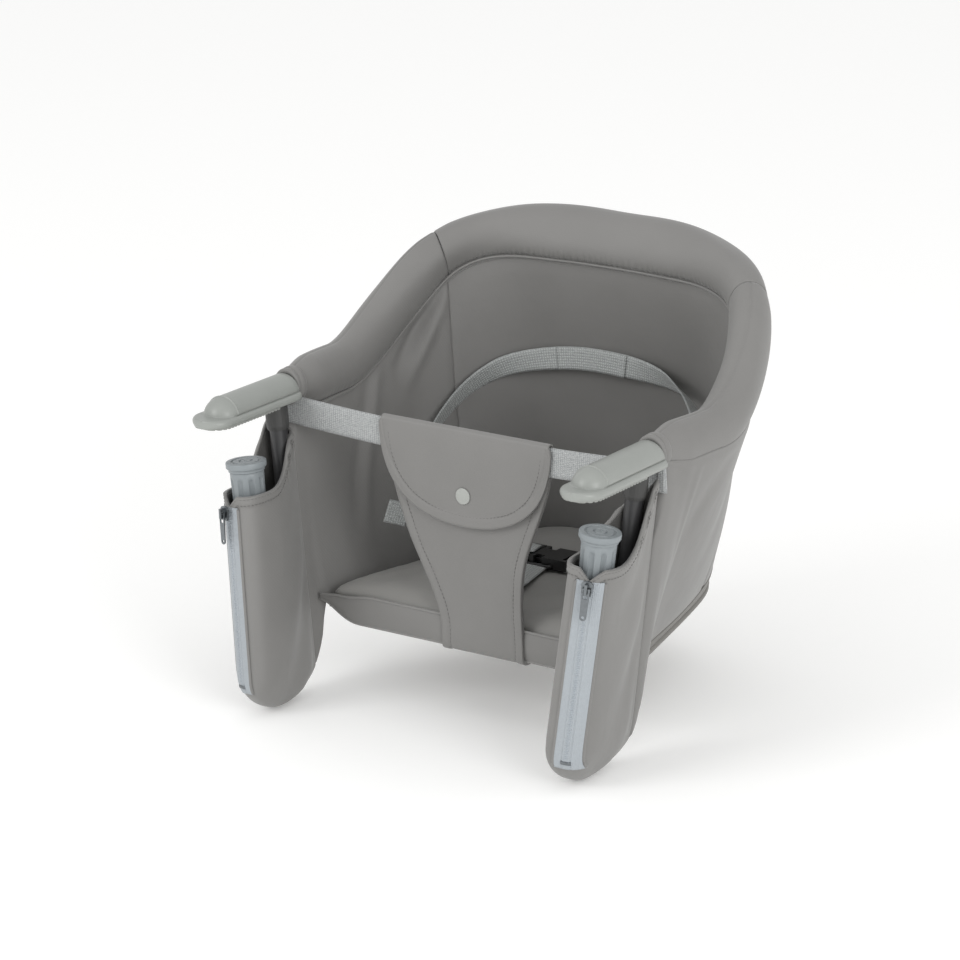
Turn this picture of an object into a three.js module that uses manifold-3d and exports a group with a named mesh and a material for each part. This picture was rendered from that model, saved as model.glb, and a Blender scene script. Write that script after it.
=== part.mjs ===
// Hook-on table chair: a fabric bucket seat on a bent steel tube whose two arms
// rest on a table top, with a screw clamp under each arm.
// Millimetres, +Z up. The origin is midway between the arms, level with the table top.
// The chair faces -Y, towards the table, and left is -X.
import * as THREE from 'three';
import { mergeVertices } from 'three/addons/utils/BufferGeometryUtils.js';
import Module from 'manifold-3d';

const wasm = await Module();
wasm.setup();

// Clearances
const SEAT_GAP = 0.3;
const RUNNING_GAP = 0.3;
const CLOTH_GAP = 1.2;

// Top tube and rim
const ARM_HALF_SPACING = 177.5;
const ARM_AXIS_HEIGHT = 12;
const TUBE_RADIUS = 7.5;
const TUBE_BORE_RADIUS = 6;
const TUBE_SIDES = 10;
const RIM_BACK_Y = 302;
const RIM_BACK_HALF_WIDTH = 209;
const RIM_SQUARENESS = 2.94;
const RIM_FLARE_EASE = 1.3;
const RIM_RISE = 112;
const RISE_START_Y = 140;
const RISE_END_Y = 325;
const ROLL_HALF_WIDTH = 18;
const ROLL_HALF_HEIGHT = 23;
const ROLL_DROP = 6;
const CUFF_SHARE = 0.72;
const CUFF_LENGTH = 30;
const SEAM_SHARE = 0.295;
const SEAM_GAP = 0.8;

// Bucket and base
const WALL_THICKNESS = 4;
const WALL_BULGE = 7;
const WALL_HEM = 1;
const WALL_FRONT_LENGTH = 45;
const BASE_TOP_Z = -183;
const BASE_THICKNESS = 7;
const BASE_SETBACK = 11;
const BASE_BACK_Y = 334;
const BASE_FRONT_HALF_WIDTH = 151;
const BASE_BACK_HALF_WIDTH = 94;
const BASE_SQUARENESS = 8;
const BOARD_THICKNESS = 6;
const CUSHION_HEIGHT = 14;
const CUSHION_CROWN = 15;
const CUSHION_EDGE_DRAW = 4;
const CUSHION_FRONT_INSET = 1;

// Clamp: everything that turns on the end of an arm
const LEG_SPACING = 48;
const LEG_REAR_ROOM = 15;
const CLAMP_REAR_Y = LEG_SPACING + LEG_REAR_ROOM;
const CAP_LENGTH = 115;
const CAP_BILL_REACH = 13;
const CAP_DOME_RADIUS = 16.3;
const CAP_DOME_DROP = 6.5;
const FLANGE_HALF_WIDTH = 18.5;
const FLANGE_TOP_Z = 8;
const FLANGE_LIP = 2;
const GRIP_PAD_THICKNESS = 3;
const GRIP_PAD_INSET = 1.5;
const GRIP_TOOTH_PITCH = 4.2;
const GRIP_TOOTH_DEPTH = 1.2;
const GRIP_TOOTH_LAND = 2;
const LEG_LEAN = THREE.MathUtils.degToRad(6);
const LEG_RADIUS = 7.5;
const LEG_BORE_RADIUS = 6;
const LEG_BEND_DROP = 240;
const COLLAR_RADIUS = 9.7;
const COLLAR_LENGTH = 24;

// Clamping screw
const JAW_GAP = 37.7;
const KNOB_PAD_RADIUS = 17;
const KNOB_PAD_HEIGHT = 8;
const KNOB_GRIP_RADIUS = 14.2;
const KNOB_GRIP_LENGTH = 44;
const KNOB_FLUTES = 9;
const KNOB_FLUTE_DEPTH = 1.6;
const SPINDLE_RADIUS = 4;
const SPINDLE_LENGTH = 82;
const NUT_LENGTH = 16;
const NUT_HEAD_THICKNESS = 4;

// Zipped sleeve round the clamp leg
const SLEEVE_WALL = 1.8;
const SLEEVE_FRONT_TOP_Y = -21;
const SLEEVE_FRONT_LOW_Y = -29;
const SLEEVE_FRONT_HALF = 20;
const SLEEVE_NOSE_LENGTH = 32;
const SLEEVE_NOSE_SLOPE = 0.18;
const SLEEVE_ROUNDNESS = 3;
const SLEEVE_TAIL_Y = 92;
const SLEEVE_TAIL_HALF = 3;
const TAIL_ROUNDNESS = 2.5;
const SLEEVE_BOTTOM_Z = -264;
const SLEEVE_REAR_TURN_Z = -187;
const SLEEVE_FRONT_TURN_Z = -233;
const SLEEVE_TOP_Z = -36;
const HEM_LOW_Z = -75;
const HEM_REAR_Z = -38;
const ZIP_WIDTH = 16;
const ZIP_OFFSET = 6;
const ZIP_THICKNESS = 0.9;
const ZIP_TOP_Z = -82;
const ZIP_BOTTOM_Z = -240;
const COIL_WIDTH = 4;
const COIL_HEIGHT = 1.4;
const SLIDER_LENGTH = 12;
const PULL_LENGTH = 26;

// Straps, crotch panel and flap
const STRAP_WIDTH = 25;
const STRAP_THICKNESS = 1.6;
const STRAP_TOP_Z = 3;
const STRAP_SAG = 6.5;
const STRAP_OVERHANG = 12.5;
const FLAP_THICKNESS = 2;
const FLAP_HALF_WIDTH = 84;
const FLAP_DROP = 80;
const SNAP_RADIUS = 7;
const SNAP_Z = -56;
const PANEL_THICKNESS = 2.4;
const PANEL_TOP_HALF_WIDTH = 82;
const PANEL_LOW_HALF_WIDTH = 40;
const PANEL_LOW_SHIFT = 16;
const PANEL_TUCK = 40;
const BELT_WIDTH = 20;
const BELT_THICKNESS = 1.6;
const BUCKLE_LENGTH = 36;
const BUCKLE_WIDTH = 30;
const BUCKLE_THICKNESS = 9;
const BUCKLE_WALL = 2;
const BUCKLE_STOP = 1;
const BUCKLE_X = 15;
const BUCKLE_SETBACK = 111;
const BELT_LIE = 38;
const BELT_LIFT = 14;
const TAIL_REACH = 104;
const TAIL_FORWARD = 67;
const TAIL_RISE = 28;
const TONGUE_HEAD_LENGTH = 16;
const PRONG_LENGTH = 14;

const RIM_FRONT_Y = CLAMP_REAR_Y + CLOTH_GAP;
const BASE_FRONT_Y = CLAMP_REAR_Y + BASE_SETBACK;
const STRAP_HALF_LENGTH = ARM_HALF_SPACING + STRAP_OVERHANG;

const { lerp, smoothstep, clamp } = THREE.MathUtils;
const vec = (x, y, z) => new THREE.Vector3(x, y, z);

// Surface finishes
const finish = (color, roughness, metalness = 0) =>
  () => new THREE.MeshStandardMaterial({ color, roughness, metalness });
const steel = finish(0x8c8f92, 0.4, 0.9);
const darkPlastic = finish(0x4a4a4a, 0.6);
const capPlastic = finish(0xa5a8a3, 0.55);
const knobPlastic = finish(0x969da0, 0.5);
const rubber = finish(0x9a9c97, 0.85);
const cloth = finish(0x8a8885, 0.85);
const darkCloth = finish(0x6a6863, 0.9);
const webbing = finish(0xafb2b2, 0.85);
const zipCloth = finish(0xb2b8bc, 0.8);
const zincMetal = finish(0x8f9496, 0.35, 0.9);
const blackPlastic = finish(0x202020, 0.5);
const snapMetal = finish(0xb9bcb2, 0.45);
const plywood = finish(0xb59a72, 0.7);

// Solids and meshes
function bare(geometry) {
  const copy = geometry.clone();
  copy.deleteAttribute('normal');
  copy.deleteAttribute('uv');
  return mergeVertices(copy, 1e-4);
}

function toSolid(geometry) {
  const merged = bare(geometry);
  return new wasm.Manifold(new wasm.Mesh({
    numProp: 3,
    vertProperties: new Float32Array(merged.attributes.position.array),
    triVerts: new Uint32Array(merged.index.array),
  }));
}

function toGeometry(solid) {
  const mesh = solid.getMesh();
  const geometry = new THREE.BufferGeometry();
  geometry.setAttribute('position', new THREE.BufferAttribute(mesh.vertProperties, 3));
  geometry.setIndex(new THREE.BufferAttribute(mesh.triVerts, 1));
  return geometry;
}

function cut(geometry, ...tools) {
  return toGeometry(tools.reduce((solid, tool) => solid.subtract(toSolid(tool)), toSolid(geometry)));
}

function join(geometry, ...others) {
  return toGeometry(others.reduce((solid, other) => solid.add(toSolid(other)), toSolid(geometry)));
}

function common(geometry, other) {
  return toGeometry(toSolid(geometry).intersect(toSolid(other)));
}

// A closed geometry from points and faces, turned so that its faces point out.
function closed(points, faces) {
  let volume = 0;
  for (const [a, b, c] of faces) {
    volume += points[a].dot(points[b].clone().cross(points[c]));
  }
  const turned = volume < 0 ? faces.map(([a, b, c]) => [a, c, b]) : faces;
  const geometry = new THREE.BufferGeometry().setFromPoints(points);
  geometry.setIndex(turned.flat());
  return geometry;
}

function facingOut(geometry) {
  const merged = bare(geometry);
  const { position } = merged.attributes;
  const indices = Array.from({ length: position.count }, (_, i) => i);
  const points = indices.map((i) => vec(0, 0, 0).fromBufferAttribute(position, i));
  const faces = [];
  for (let i = 0; i < merged.index.count; i += 3) {
    faces.push([0, 1, 2].map((corner) => merged.index.getX(i + corner)));
  }
  return closed(points, faces);
}

// A skin over rings of equal counts, closed at both ends by a fan round the ring's middle.
function loft(rings) {
  const count = rings[0].length;
  const points = rings.flat();
  const faces = [];
  for (let r = 0; r + 1 < rings.length; r += 1) {
    for (let i = 0; i < count; i += 1) {
      const a = r * count + i;
      const b = r * count + (i + 1) % count;
      faces.push([a, b, b + count], [a, b + count, a + count]);
    }
  }
  const middleOf = (ring) => ring.reduce((sum, p) => sum.add(p), vec(0, 0, 0)).divideScalar(count);
  const first = points.push(middleOf(rings[0])) - 1;
  const last = points.push(middleOf(rings.at(-1))) - 1;
  const lastRing = (rings.length - 1) * count;
  for (let i = 0; i < count; i += 1) {
    const next = (i + 1) % count;
    faces.push([first, next, i], [last, lastRing + i, lastRing + next]);
  }
  return closed(points, faces);
}

// A tube with an open bore, from outer and inner rings in pairs.
function hollowLoft(outer, inner) {
  const count = outer[0].length;
  const points = [...outer.flat(), ...inner.flat()];
  const shift = outer.length * count;
  const faces = [];
  const quad = (a, b, c, d) => faces.push([a, b, c], [a, c, d]);
  for (let i = 0; i < count; i += 1) {
    const next = (i + 1) % count;
    for (let r = 0; r + 1 < outer.length; r += 1) {
      const near = r * count;
      const far = near + count;
      quad(near + i, near + next, far + next, far + i);
      quad(shift + near + next, shift + near + i, shift + far + i, shift + far + next);
    }
    const end = (outer.length - 1) * count;
    quad(next, i, shift + i, shift + next);
    quad(end + i, end + next, shift + end + next, shift + end + i);
  }
  return closed(points, faces);
}

// A closed slab between two grids of points, each a list of columns.
function slab(near, far) {
  const uSteps = near.length - 1;
  const vSteps = near[0].length - 1;
  const row = vSteps + 1;
  const shift = near.length * row;
  const faces = [];
  const quad = (a, b, c, d) => faces.push([a, b, c], [a, c, d]);
  for (let i = 0; i < uSteps; i += 1) {
    for (let j = 0; j < vSteps; j += 1) {
      const a = i * row + j;
      quad(a, a + row, a + row + 1, a + 1);
      quad(shift + a, shift + a + 1, shift + a + row + 1, shift + a + row);
    }
    const low = i * row;
    const high = low + vSteps;
    quad(low + row, low, shift + low, shift + low + row);
    quad(high, high + row, shift + high + row, shift + high);
  }
  const side = uSteps * row;
  for (let j = 0; j < vSteps; j += 1) {
    quad(j, j + 1, shift + j + 1, shift + j);
    quad(side + j + 1, side + j, shift + side + j, shift + side + j + 1);
  }
  return closed([...near.flat(), ...far.flat()], faces);
}

// A sheet of even thickness over surface(u, v), with u and v from 0 to 1.
function sheet(surface, uSteps, vSteps, thickness) {
  const near = [];
  const far = [];
  const step = 1e-3;
  for (let i = 0; i <= uSteps; i += 1) {
    near.push([]);
    far.push([]);
    for (let j = 0; j <= vSteps; j += 1) {
      const u = i / uSteps;
      const v = j / vSteps;
      const alongU = surface(u + step, v).sub(surface(u - step, v));
      const alongV = surface(u, v + step).sub(surface(u, v - step));
      const normal = alongU.cross(alongV).normalize();
      const point = surface(u, v);
      near[i].push(point.clone().addScaledVector(normal, thickness / 2));
      far[i].push(point.clone().addScaledVector(normal, -thickness / 2));
    }
  }
  return slab(near, far);
}

// Shorthand shapes: an upright round bar, a round bar along Y and a box from corner to corner.
function bar(radius, zLow, zHigh, sides = 24) {
  const geometry = new THREE.CylinderGeometry(radius, radius, zHigh - zLow, sides);
  return geometry.rotateX(Math.PI / 2).translate(0, 0, (zLow + zHigh) / 2);
}

function barAlongY(radius, yLow, yHigh, sides = 24) {
  const geometry = new THREE.CylinderGeometry(radius, radius, yHigh - yLow, sides);
  return geometry.translate(0, (yLow + yHigh) / 2, 0);
}

function block(low, high) {
  const size = high.clone().sub(low);
  const middle = low.clone().add(high).multiplyScalar(0.5);
  return new THREE.BoxGeometry(size.x, size.y, size.z).translate(middle.x, middle.y, middle.z);
}

function piece(name, geometry, material) {
  const mesh = new THREE.Mesh(bare(geometry), material());
  mesh.name = name;
  return mesh;
}

// Plan curves: a straight-sided front that rounds into the back, from left to right.
class PlanCurve extends THREE.Curve {
  constructor(plan) {
    super();
    this.plan = plan;
    this.arcLengthDivisions = 2400;
  }

  getPoint(t, target = vec(0, 0, 0)) {
    const { frontY, backY, frontHalf, backHalf, squareness, ease, height } = this.plan;
    const angle = lerp(-Math.PI / 2, Math.PI / 2, t);
    const power = 2 / squareness;
    const depth = Math.max(0, Math.cos(angle)) ** power;
    const side = Math.sign(angle) * Math.abs(Math.sin(angle)) ** power;
    const y = lerp(frontY, backY, depth);
    return target.set(lerp(frontHalf, backHalf, depth ** ease) * side, y, height(y));
  }
}

const rimHeight = (y) => ARM_AXIS_HEIGHT + RIM_RISE * smoothstep(y, RISE_START_Y, RISE_END_Y);
const rimCurve = new PlanCurve({
  frontY: RIM_FRONT_Y,
  backY: RIM_BACK_Y,
  frontHalf: ARM_HALF_SPACING,
  backHalf: RIM_BACK_HALF_WIDTH,
  squareness: RIM_SQUARENESS,
  ease: RIM_FLARE_EASE,
  height: rimHeight,
});

function baseCurve(inset, z, frontInset = inset) {
  return new PlanCurve({
    frontY: BASE_FRONT_Y + frontInset,
    backY: BASE_BACK_Y - inset,
    frontHalf: BASE_FRONT_HALF_WIDTH - inset,
    backHalf: BASE_BACK_HALF_WIDTH - inset,
    squareness: BASE_SQUARENESS,
    ease: 1,
    height: () => z,
  });
}

// The whole base outline as a ring of points, with the straight front edge filled in.
function baseRing(inset, z, frontInset) {
  const around = 30;
  const across = 8;
  const ring = baseCurve(inset, z, frontInset).getSpacedPoints(around);
  const left = ring[0];
  const right = ring.at(-1);
  for (let i = 1; i < across; i += 1) {
    ring.push(right.clone().lerp(left, i / across));
  }
  return ring;
}

// Places along the rim: the tube's middle, and axes across it and up
function rimPlace(share) {
  const middle = rimCurve.getPointAt(clamp(share, 0, 1));
  const along = rimCurve.getTangentAt(clamp(share, 0.002, 0.998));
  const outward = vec(0, 0, 1).cross(along).normalize();
  const up = outward.clone().cross(along).normalize();
  if (up.z < 0) up.negate();
  return { middle, outward, up, level: Math.hypot(along.x, along.y) };
}

const rimLength = rimCurve.getLength();
const STRAP_FRONT_Y = CLAMP_REAR_Y + FLAP_THICKNESS + 3 * CLOTH_GAP;
const STRAP_BACK_Y = STRAP_FRONT_Y + STRAP_THICKNESS;
const WALL_FRONT_Y = STRAP_BACK_Y + CLOTH_GAP;
const wallStart = (WALL_FRONT_Y - RIM_FRONT_Y) / rimLength;

// Shares of the rim's length from one place to another, in even steps
function rimShares(from, to, steps) {
  return Array.from({ length: steps + 1 }, (_, s) => lerp(from, to, s / steps));
}

const seamHalf = SEAM_GAP / 2 / rimLength;
const otherSeam = 1 - SEAM_SHARE;
const leftRun = rimShares(wallStart, SEAM_SHARE - seamHalf, 12);
const backRun = rimShares(SEAM_SHARE + seamHalf, otherSeam - seamHalf, 16);
const rightRun = rimShares(otherSeam + seamHalf, 1 - wallStart, 12);

// A ring of points round a middle, on two axes
function ellipse(middle, across, up, width, height, sides) {
  return Array.from({ length: sides }, (_, i) => {
    const angle = 2 * Math.PI * i / sides;
    return middle.clone()
      .addScaledVector(across, width * Math.cos(angle))
      .addScaledVector(up, height * Math.sin(angle));
  });
}

// Top tube: two straight arms that run into the raised back
function topTube() {
  const places = [0, ...leftRun, ...backRun.slice(1), ...rightRun.slice(1), 1].map(rimPlace);
  const armEnd = (place) => ({ ...place, middle: place.middle.clone().setY(armFrontY) });
  places.unshift(armEnd(places[0]));
  places.push(armEnd(places.at(-1)));
  const rings = (radius) => places.map(({ middle, outward, up }) =>
    ellipse(middle, outward, up, radius, radius, TUBE_SIDES));
  return hollowLoft(rings(TUBE_RADIUS), rings(TUBE_BORE_RADIUS));
}

// Padded roll sewn round the tube, drawn in to a cuff behind each cap
const fromCuff = (share) => rimLength * (Math.min(share, 1 - share) - wallStart);
const rollFullness = (share) => lerp(CUFF_SHARE, 1, smoothstep(fromCuff(share), 0, CUFF_LENGTH));

function rimRoll(shares) {
  const sides = 14;
  const bore = TUBE_RADIUS + 3 * SEAT_GAP;
  const outer = [];
  const inner = [];
  for (const share of shares) {
    const { middle, outward, up } = rimPlace(share);
    const fullness = rollFullness(share);
    const lowered = middle.clone().addScaledVector(up, -ROLL_DROP * fullness);
    const width = ROLL_HALF_WIDTH * fullness;
    const height = ROLL_HALF_HEIGHT * fullness;
    outer.push(ellipse(lowered, outward, up, width, height, sides));
    inner.push(ellipse(middle, outward, up, bore, bore, sides));
  }
  return hollowLoft(outer, inner);
}

// The lower edge of the sleeve and of the wall's tail behind it, in the leaning plane of the leg
const sleeveTurnY = LEG_SPACING * 0.2;
function tailEdge(y) {
  const share = clamp((y - sleeveTurnY) / (SLEEVE_TAIL_Y - sleeveTurnY), 0, 1);
  const depth = (1 - share ** TAIL_ROUNDNESS) ** (1 / TAIL_ROUNDNESS);
  return lerp(SLEEVE_REAR_TURN_Z, SLEEVE_BOTTOM_Z, depth);
}

// Bucket wall between the roll and the base: v runs from the roll down to the base.
// The front of a side wall moves into the plane of the leg and hangs lower, behind the sleeve.
const legPlaneX = (z) => ARM_HALF_SPACING - Math.tan(LEG_LEAN) * (ARM_AXIS_HEIGHT - z);
const wallFrontness = (share) => 1 - smoothstep(fromCuff(share), 0, WALL_FRONT_LENGTH);
const wallFoot = baseCurve(WALL_THICKNESS / 2, BASE_TOP_Z + WALL_THICKNESS / 2 + SEAT_GAP);
const footMargin = 0.002;
const footFrontY = wallFoot.getPointAt(footMargin).y;
function wallPoint(share, v, inside = 0) {
  const { middle, outward, level } = rimPlace(share);
  const frontness = wallFrontness(share);
  const lip = (WALL_FRONT_Y - RIM_FRONT_Y) * frontness;
  const reach = (share - 0.5) / (0.5 - wallStart) * (0.5 - footMargin);
  const low = wallFoot.getPointAt(clamp(0.5 + reach, 0, 1));
  low.y -= (footFrontY - WALL_FRONT_Y) * frontness;
  if (frontness > 0) {
    low.z = Math.min(low.z, ARM_AXIS_HEIGHT + tailEdge(low.y - lip) * Math.cos(LEG_LEAN));
    low.x = lerp(low.x, Math.sign(low.x) * legPlaneX(low.z), frontness);
  }
  const top = middle.clone();
  const rollDepth = (ROLL_HALF_HEIGHT + ROLL_DROP) * rollFullness(share);
  top.z -= (rollDepth + WALL_THICKNESS / 2 + SEAT_GAP) / level;
  const bulge = WALL_BULGE * (1 - frontness) * Math.sin(Math.PI * v) ** 2;
  const point = top.lerp(low, v).addScaledVector(outward, bulge - inside);
  point.y -= lip * smoothstep(v, 0.08, 0.25);
  return point;
}

// A point round the outside of the roll in an upright plane, lifted off it, at an angle from outwards
function overRoll(share, angle, lift) {
  const { middle, outward, level } = rimPlace(share);
  const fullness = rollFullness(share);
  const point = middle.clone();
  point.addScaledVector(outward, (ROLL_HALF_WIDTH * fullness + lift) * Math.cos(angle));
  point.z += ((ROLL_HALF_HEIGHT * fullness + lift) * Math.sin(angle) - ROLL_DROP * fullness) / level;
  return point;
}

// A wall is sewn on along the outside of the roll. Its lining hugs the roll and then hangs straight,
// while its outer cloth drapes from the sewn edge to the foot, and lies on the lining at the front.
const WALL_ROWS = 12;
const HUG_ROWS = 3;
const LINING_LIFT = 2 * CLOTH_GAP;
const wallSeamHalf = 3 * seamHalf;
const SEWN_ANGLE = THREE.MathUtils.degToRad(-8);
const LINING_ANGLE = THREE.MathUtils.degToRad(-100);
const CLOSE_ANGLE = THREE.MathUtils.degToRad(-75);
function wallPanel(run) {
  const rows = Array.from({ length: WALL_ROWS + 1 }, (_, row) => row);
  const column = (share, lift, lastAngle, inside) => rows.map((row) => {
    const angle = lerp(SEWN_ANGLE, lastAngle, row / HUG_ROWS);
    if (row <= HUG_ROWS) return overRoll(share, angle, lift);
    return wallPoint(share, (row - HUG_ROWS) / (WALL_ROWS - HUG_ROWS), inside);
  });
  const clearOf = (share, seam) => (
    Math.abs(share - seam) < wallSeamHalf ? seam + Math.sign(share - seam) * wallSeamHalf : share
  );
  const shares = run.map((share) => clearOf(clearOf(share, SEAM_SHARE), otherSeam));
  const near = shares.map((share) => column(share, LINING_LIFT, LINING_ANGLE, WALL_THICKNESS / 2));
  const far = shares.map((share) => {
    const hugging = column(share, LINING_LIFT + WALL_HEM, CLOSE_ANGLE, -WALL_THICKNESS / 2);
    const foot = hugging.at(-1);
    return hugging.map((point, row) => {
      const hung = hugging[0].clone().lerp(foot, row / WALL_ROWS);
      return hung.lerp(point, wallFrontness(share));
    });
  });
  return slab(near, far);
}

// Base cover, seat board and crowned seat cushion
function basePlate(inset, zLow, zHigh) {
  return loft([baseRing(inset, zLow), baseRing(inset, zHigh)]);
}

const cushionBottom = BASE_TOP_Z + BOARD_THICKNESS + 2 * SEAT_GAP;
const cushionTop = cushionBottom + CUSHION_HEIGHT;
const cushionCrown = (share) => CUSHION_CROWN * Math.sin(share * Math.PI / 2);
function seatCushion() {
  const wallInset = WALL_THICKNESS + 2 * CLOTH_GAP + WALL_BULGE / 2;
  const levels = [
    [CUSHION_EDGE_DRAW, 0],
    [0, 0.36],
    [CUSHION_EDGE_DRAW * 0.5, 0.74],
    [CUSHION_EDGE_DRAW * 2.5, 1],
  ];
  const rings = levels.map(([inset, share]) =>
    baseRing(wallInset + inset, lerp(cushionBottom, cushionTop, share), CUSHION_FRONT_INSET + inset));
  const crownRings = [0.25, 0.55, 0.85];
  const rim = rings.at(-1);
  const middle = vec(0, (BASE_FRONT_Y + BASE_BACK_Y) / 2, cushionTop);
  for (const share of crownRings) {
    rings.push(rim.map((p) => {
      const point = p.clone().lerp(middle, share);
      point.z = cushionTop + cushionCrown(share);
      return point;
    }));
  }
  return loft(rings);
}

// Flat ribbon along a path, standing on edge unless tilted
function ribbon(points, width, thickness, steps, leanAt = () => 0) {
  const path = new THREE.CatmullRomCurve3(points);
  const rings = [];
  for (let s = 0; s <= steps; s += 1) {
    const middle = path.getPointAt(s / steps);
    const along = path.getTangentAt(s / steps);
    const across = along.clone().cross(vec(0, 0, 1)).normalize();
    const tall = across.clone().cross(along).applyAxisAngle(along, leanAt(s / steps));
    const thin = along.clone().cross(tall);
    rings.push([[1, 1], [-1, 1], [-1, -1], [1, -1]].map(([i, j]) => middle.clone()
      .addScaledVector(tall, i * width / 2)
      .addScaledVector(thin, j * thickness / 2)));
  }
  return loft(rings);
}

const strapMiddleY = (STRAP_FRONT_Y + STRAP_BACK_Y) / 2;
const strapSagAt = (x) => STRAP_SAG * (1 - (x / STRAP_HALF_LENGTH) ** 2);

// Bar strap between the arms
function barStrap() {
  const middleZ = STRAP_TOP_Z - STRAP_WIDTH / 2;
  const route = [-1, -0.66, -0.33, 0, 0.33, 0.66, 1].map((share) => {
    const x = share * STRAP_HALF_LENGTH;
    return vec(x, strapMiddleY, middleZ - strapSagAt(x));
  });
  return ribbon(route, STRAP_WIDTH, STRAP_THICKNESS, 12);
}

// Crotch panel: hangs behind the strap, narrows to the seat front and tucks under the base
const PANEL_BACK_Y = STRAP_BACK_Y + CLOTH_GAP;
const UNDER_BASE_Z = BASE_TOP_Z - BASE_THICKNESS - CLOTH_GAP - PANEL_THICKNESS / 2;
function crotchPanel() {
  const strapBottom = STRAP_TOP_Z - STRAP_WIDTH - STRAP_SAG;
  const behind = PANEL_BACK_Y + PANEL_THICKNESS / 2;
  const ahead = BASE_FRONT_Y - PANEL_THICKNESS / 2 - CLOTH_GAP;
  const drop = new THREE.CatmullRomCurve3([
    vec(0, behind, STRAP_TOP_Z - STRAP_SAG),
    vec(0, behind, strapBottom),
    vec(0, behind, lerp(strapBottom, BASE_TOP_Z, 0.4)),
    vec(0, Math.min(behind, ahead), lerp(strapBottom, BASE_TOP_Z, 0.8)),
    vec(0, Math.min(behind, ahead), BASE_TOP_Z - BASE_THICKNESS),
    vec(0, ahead + PANEL_THICKNESS, UNDER_BASE_Z),
    vec(0, BASE_FRONT_Y + PANEL_TUCK, UNDER_BASE_Z),
  ]);
  return sheet((u, v) => {
    const point = drop.getPoint(clamp(v, 0, 1));
    const down = clamp((STRAP_TOP_Z - point.z) / (STRAP_TOP_Z - BASE_TOP_Z), 0, 1);
    const half = lerp(PANEL_TOP_HALF_WIDTH, PANEL_LOW_HALF_WIDTH, smoothstep(down, 0.05, 0.95));
    const shift = PANEL_LOW_SHIFT * smoothstep(down, 0.5, 1);
    point.x = shift + lerp(-half, half, u);
    return point;
  }, 6, 18, PANEL_THICKNESS);
}

// Flap: folds over the strap and snaps to the crotch panel
const FLAP_HINGE_Z = STRAP_TOP_Z - STRAP_SAG + CLOTH_GAP;
const FLAP_BACK_Y = STRAP_FRONT_Y - CLOTH_GAP;
function crotchFlap() {
  const top = FLAP_HINGE_Z;
  const bottom = top - FLAP_DROP;
  const outline = new THREE.Shape();
  outline.moveTo(-FLAP_HALF_WIDTH, top);
  const shoulder = lerp(top, bottom, 0.8);
  outline.bezierCurveTo(-FLAP_HALF_WIDTH, shoulder, -FLAP_HALF_WIDTH / 2, bottom, 0, bottom);
  outline.bezierCurveTo(FLAP_HALF_WIDTH / 2, bottom, FLAP_HALF_WIDTH, shoulder, FLAP_HALF_WIDTH, top);
  const flat = new THREE.ExtrudeGeometry(outline, {
    depth: FLAP_THICKNESS,
    bevelEnabled: false,
    curveSegments: 14,
  });
  return flat.rotateX(Math.PI / 2).translate(0, FLAP_BACK_Y, 0);
}

// A part turned about an upright axis, from (radius, height) pairs
function turned(profile, sides = 24) {
  const outline = profile.map(([radius, height]) => new THREE.Vector2(radius, height));
  return facingOut(new THREE.LatheGeometry(outline, sides).rotateX(Math.PI / 2));
}

// A part turned about an axis along Y, facing the front
function turnedToFront(profile, sides) {
  return turned(profile, sides).rotateX(Math.PI / 2);
}

// Snap: a domed cap on the flap and a socket on the panel behind it
function snapCap() {
  const face = FLAP_BACK_Y - FLAP_THICKNESS - SEAT_GAP;
  const dome = [[0, 1.6], [SNAP_RADIUS * 0.7, 1.3], [SNAP_RADIUS, 0.5], [SNAP_RADIUS, 0], [0, 0]];
  return turnedToFront(dome, 20).translate(0, face, SNAP_Z);
}

function snapSocket() {
  const face = PANEL_BACK_Y - SEAT_GAP;
  const height = CLOTH_GAP;
  const ring = [[0, height], [SNAP_RADIUS * 0.8, height], [SNAP_RADIUS * 0.8, 0], [0, 0]];
  return turnedToFront(ring, 16).translate(0, face, SNAP_Z);
}

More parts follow.
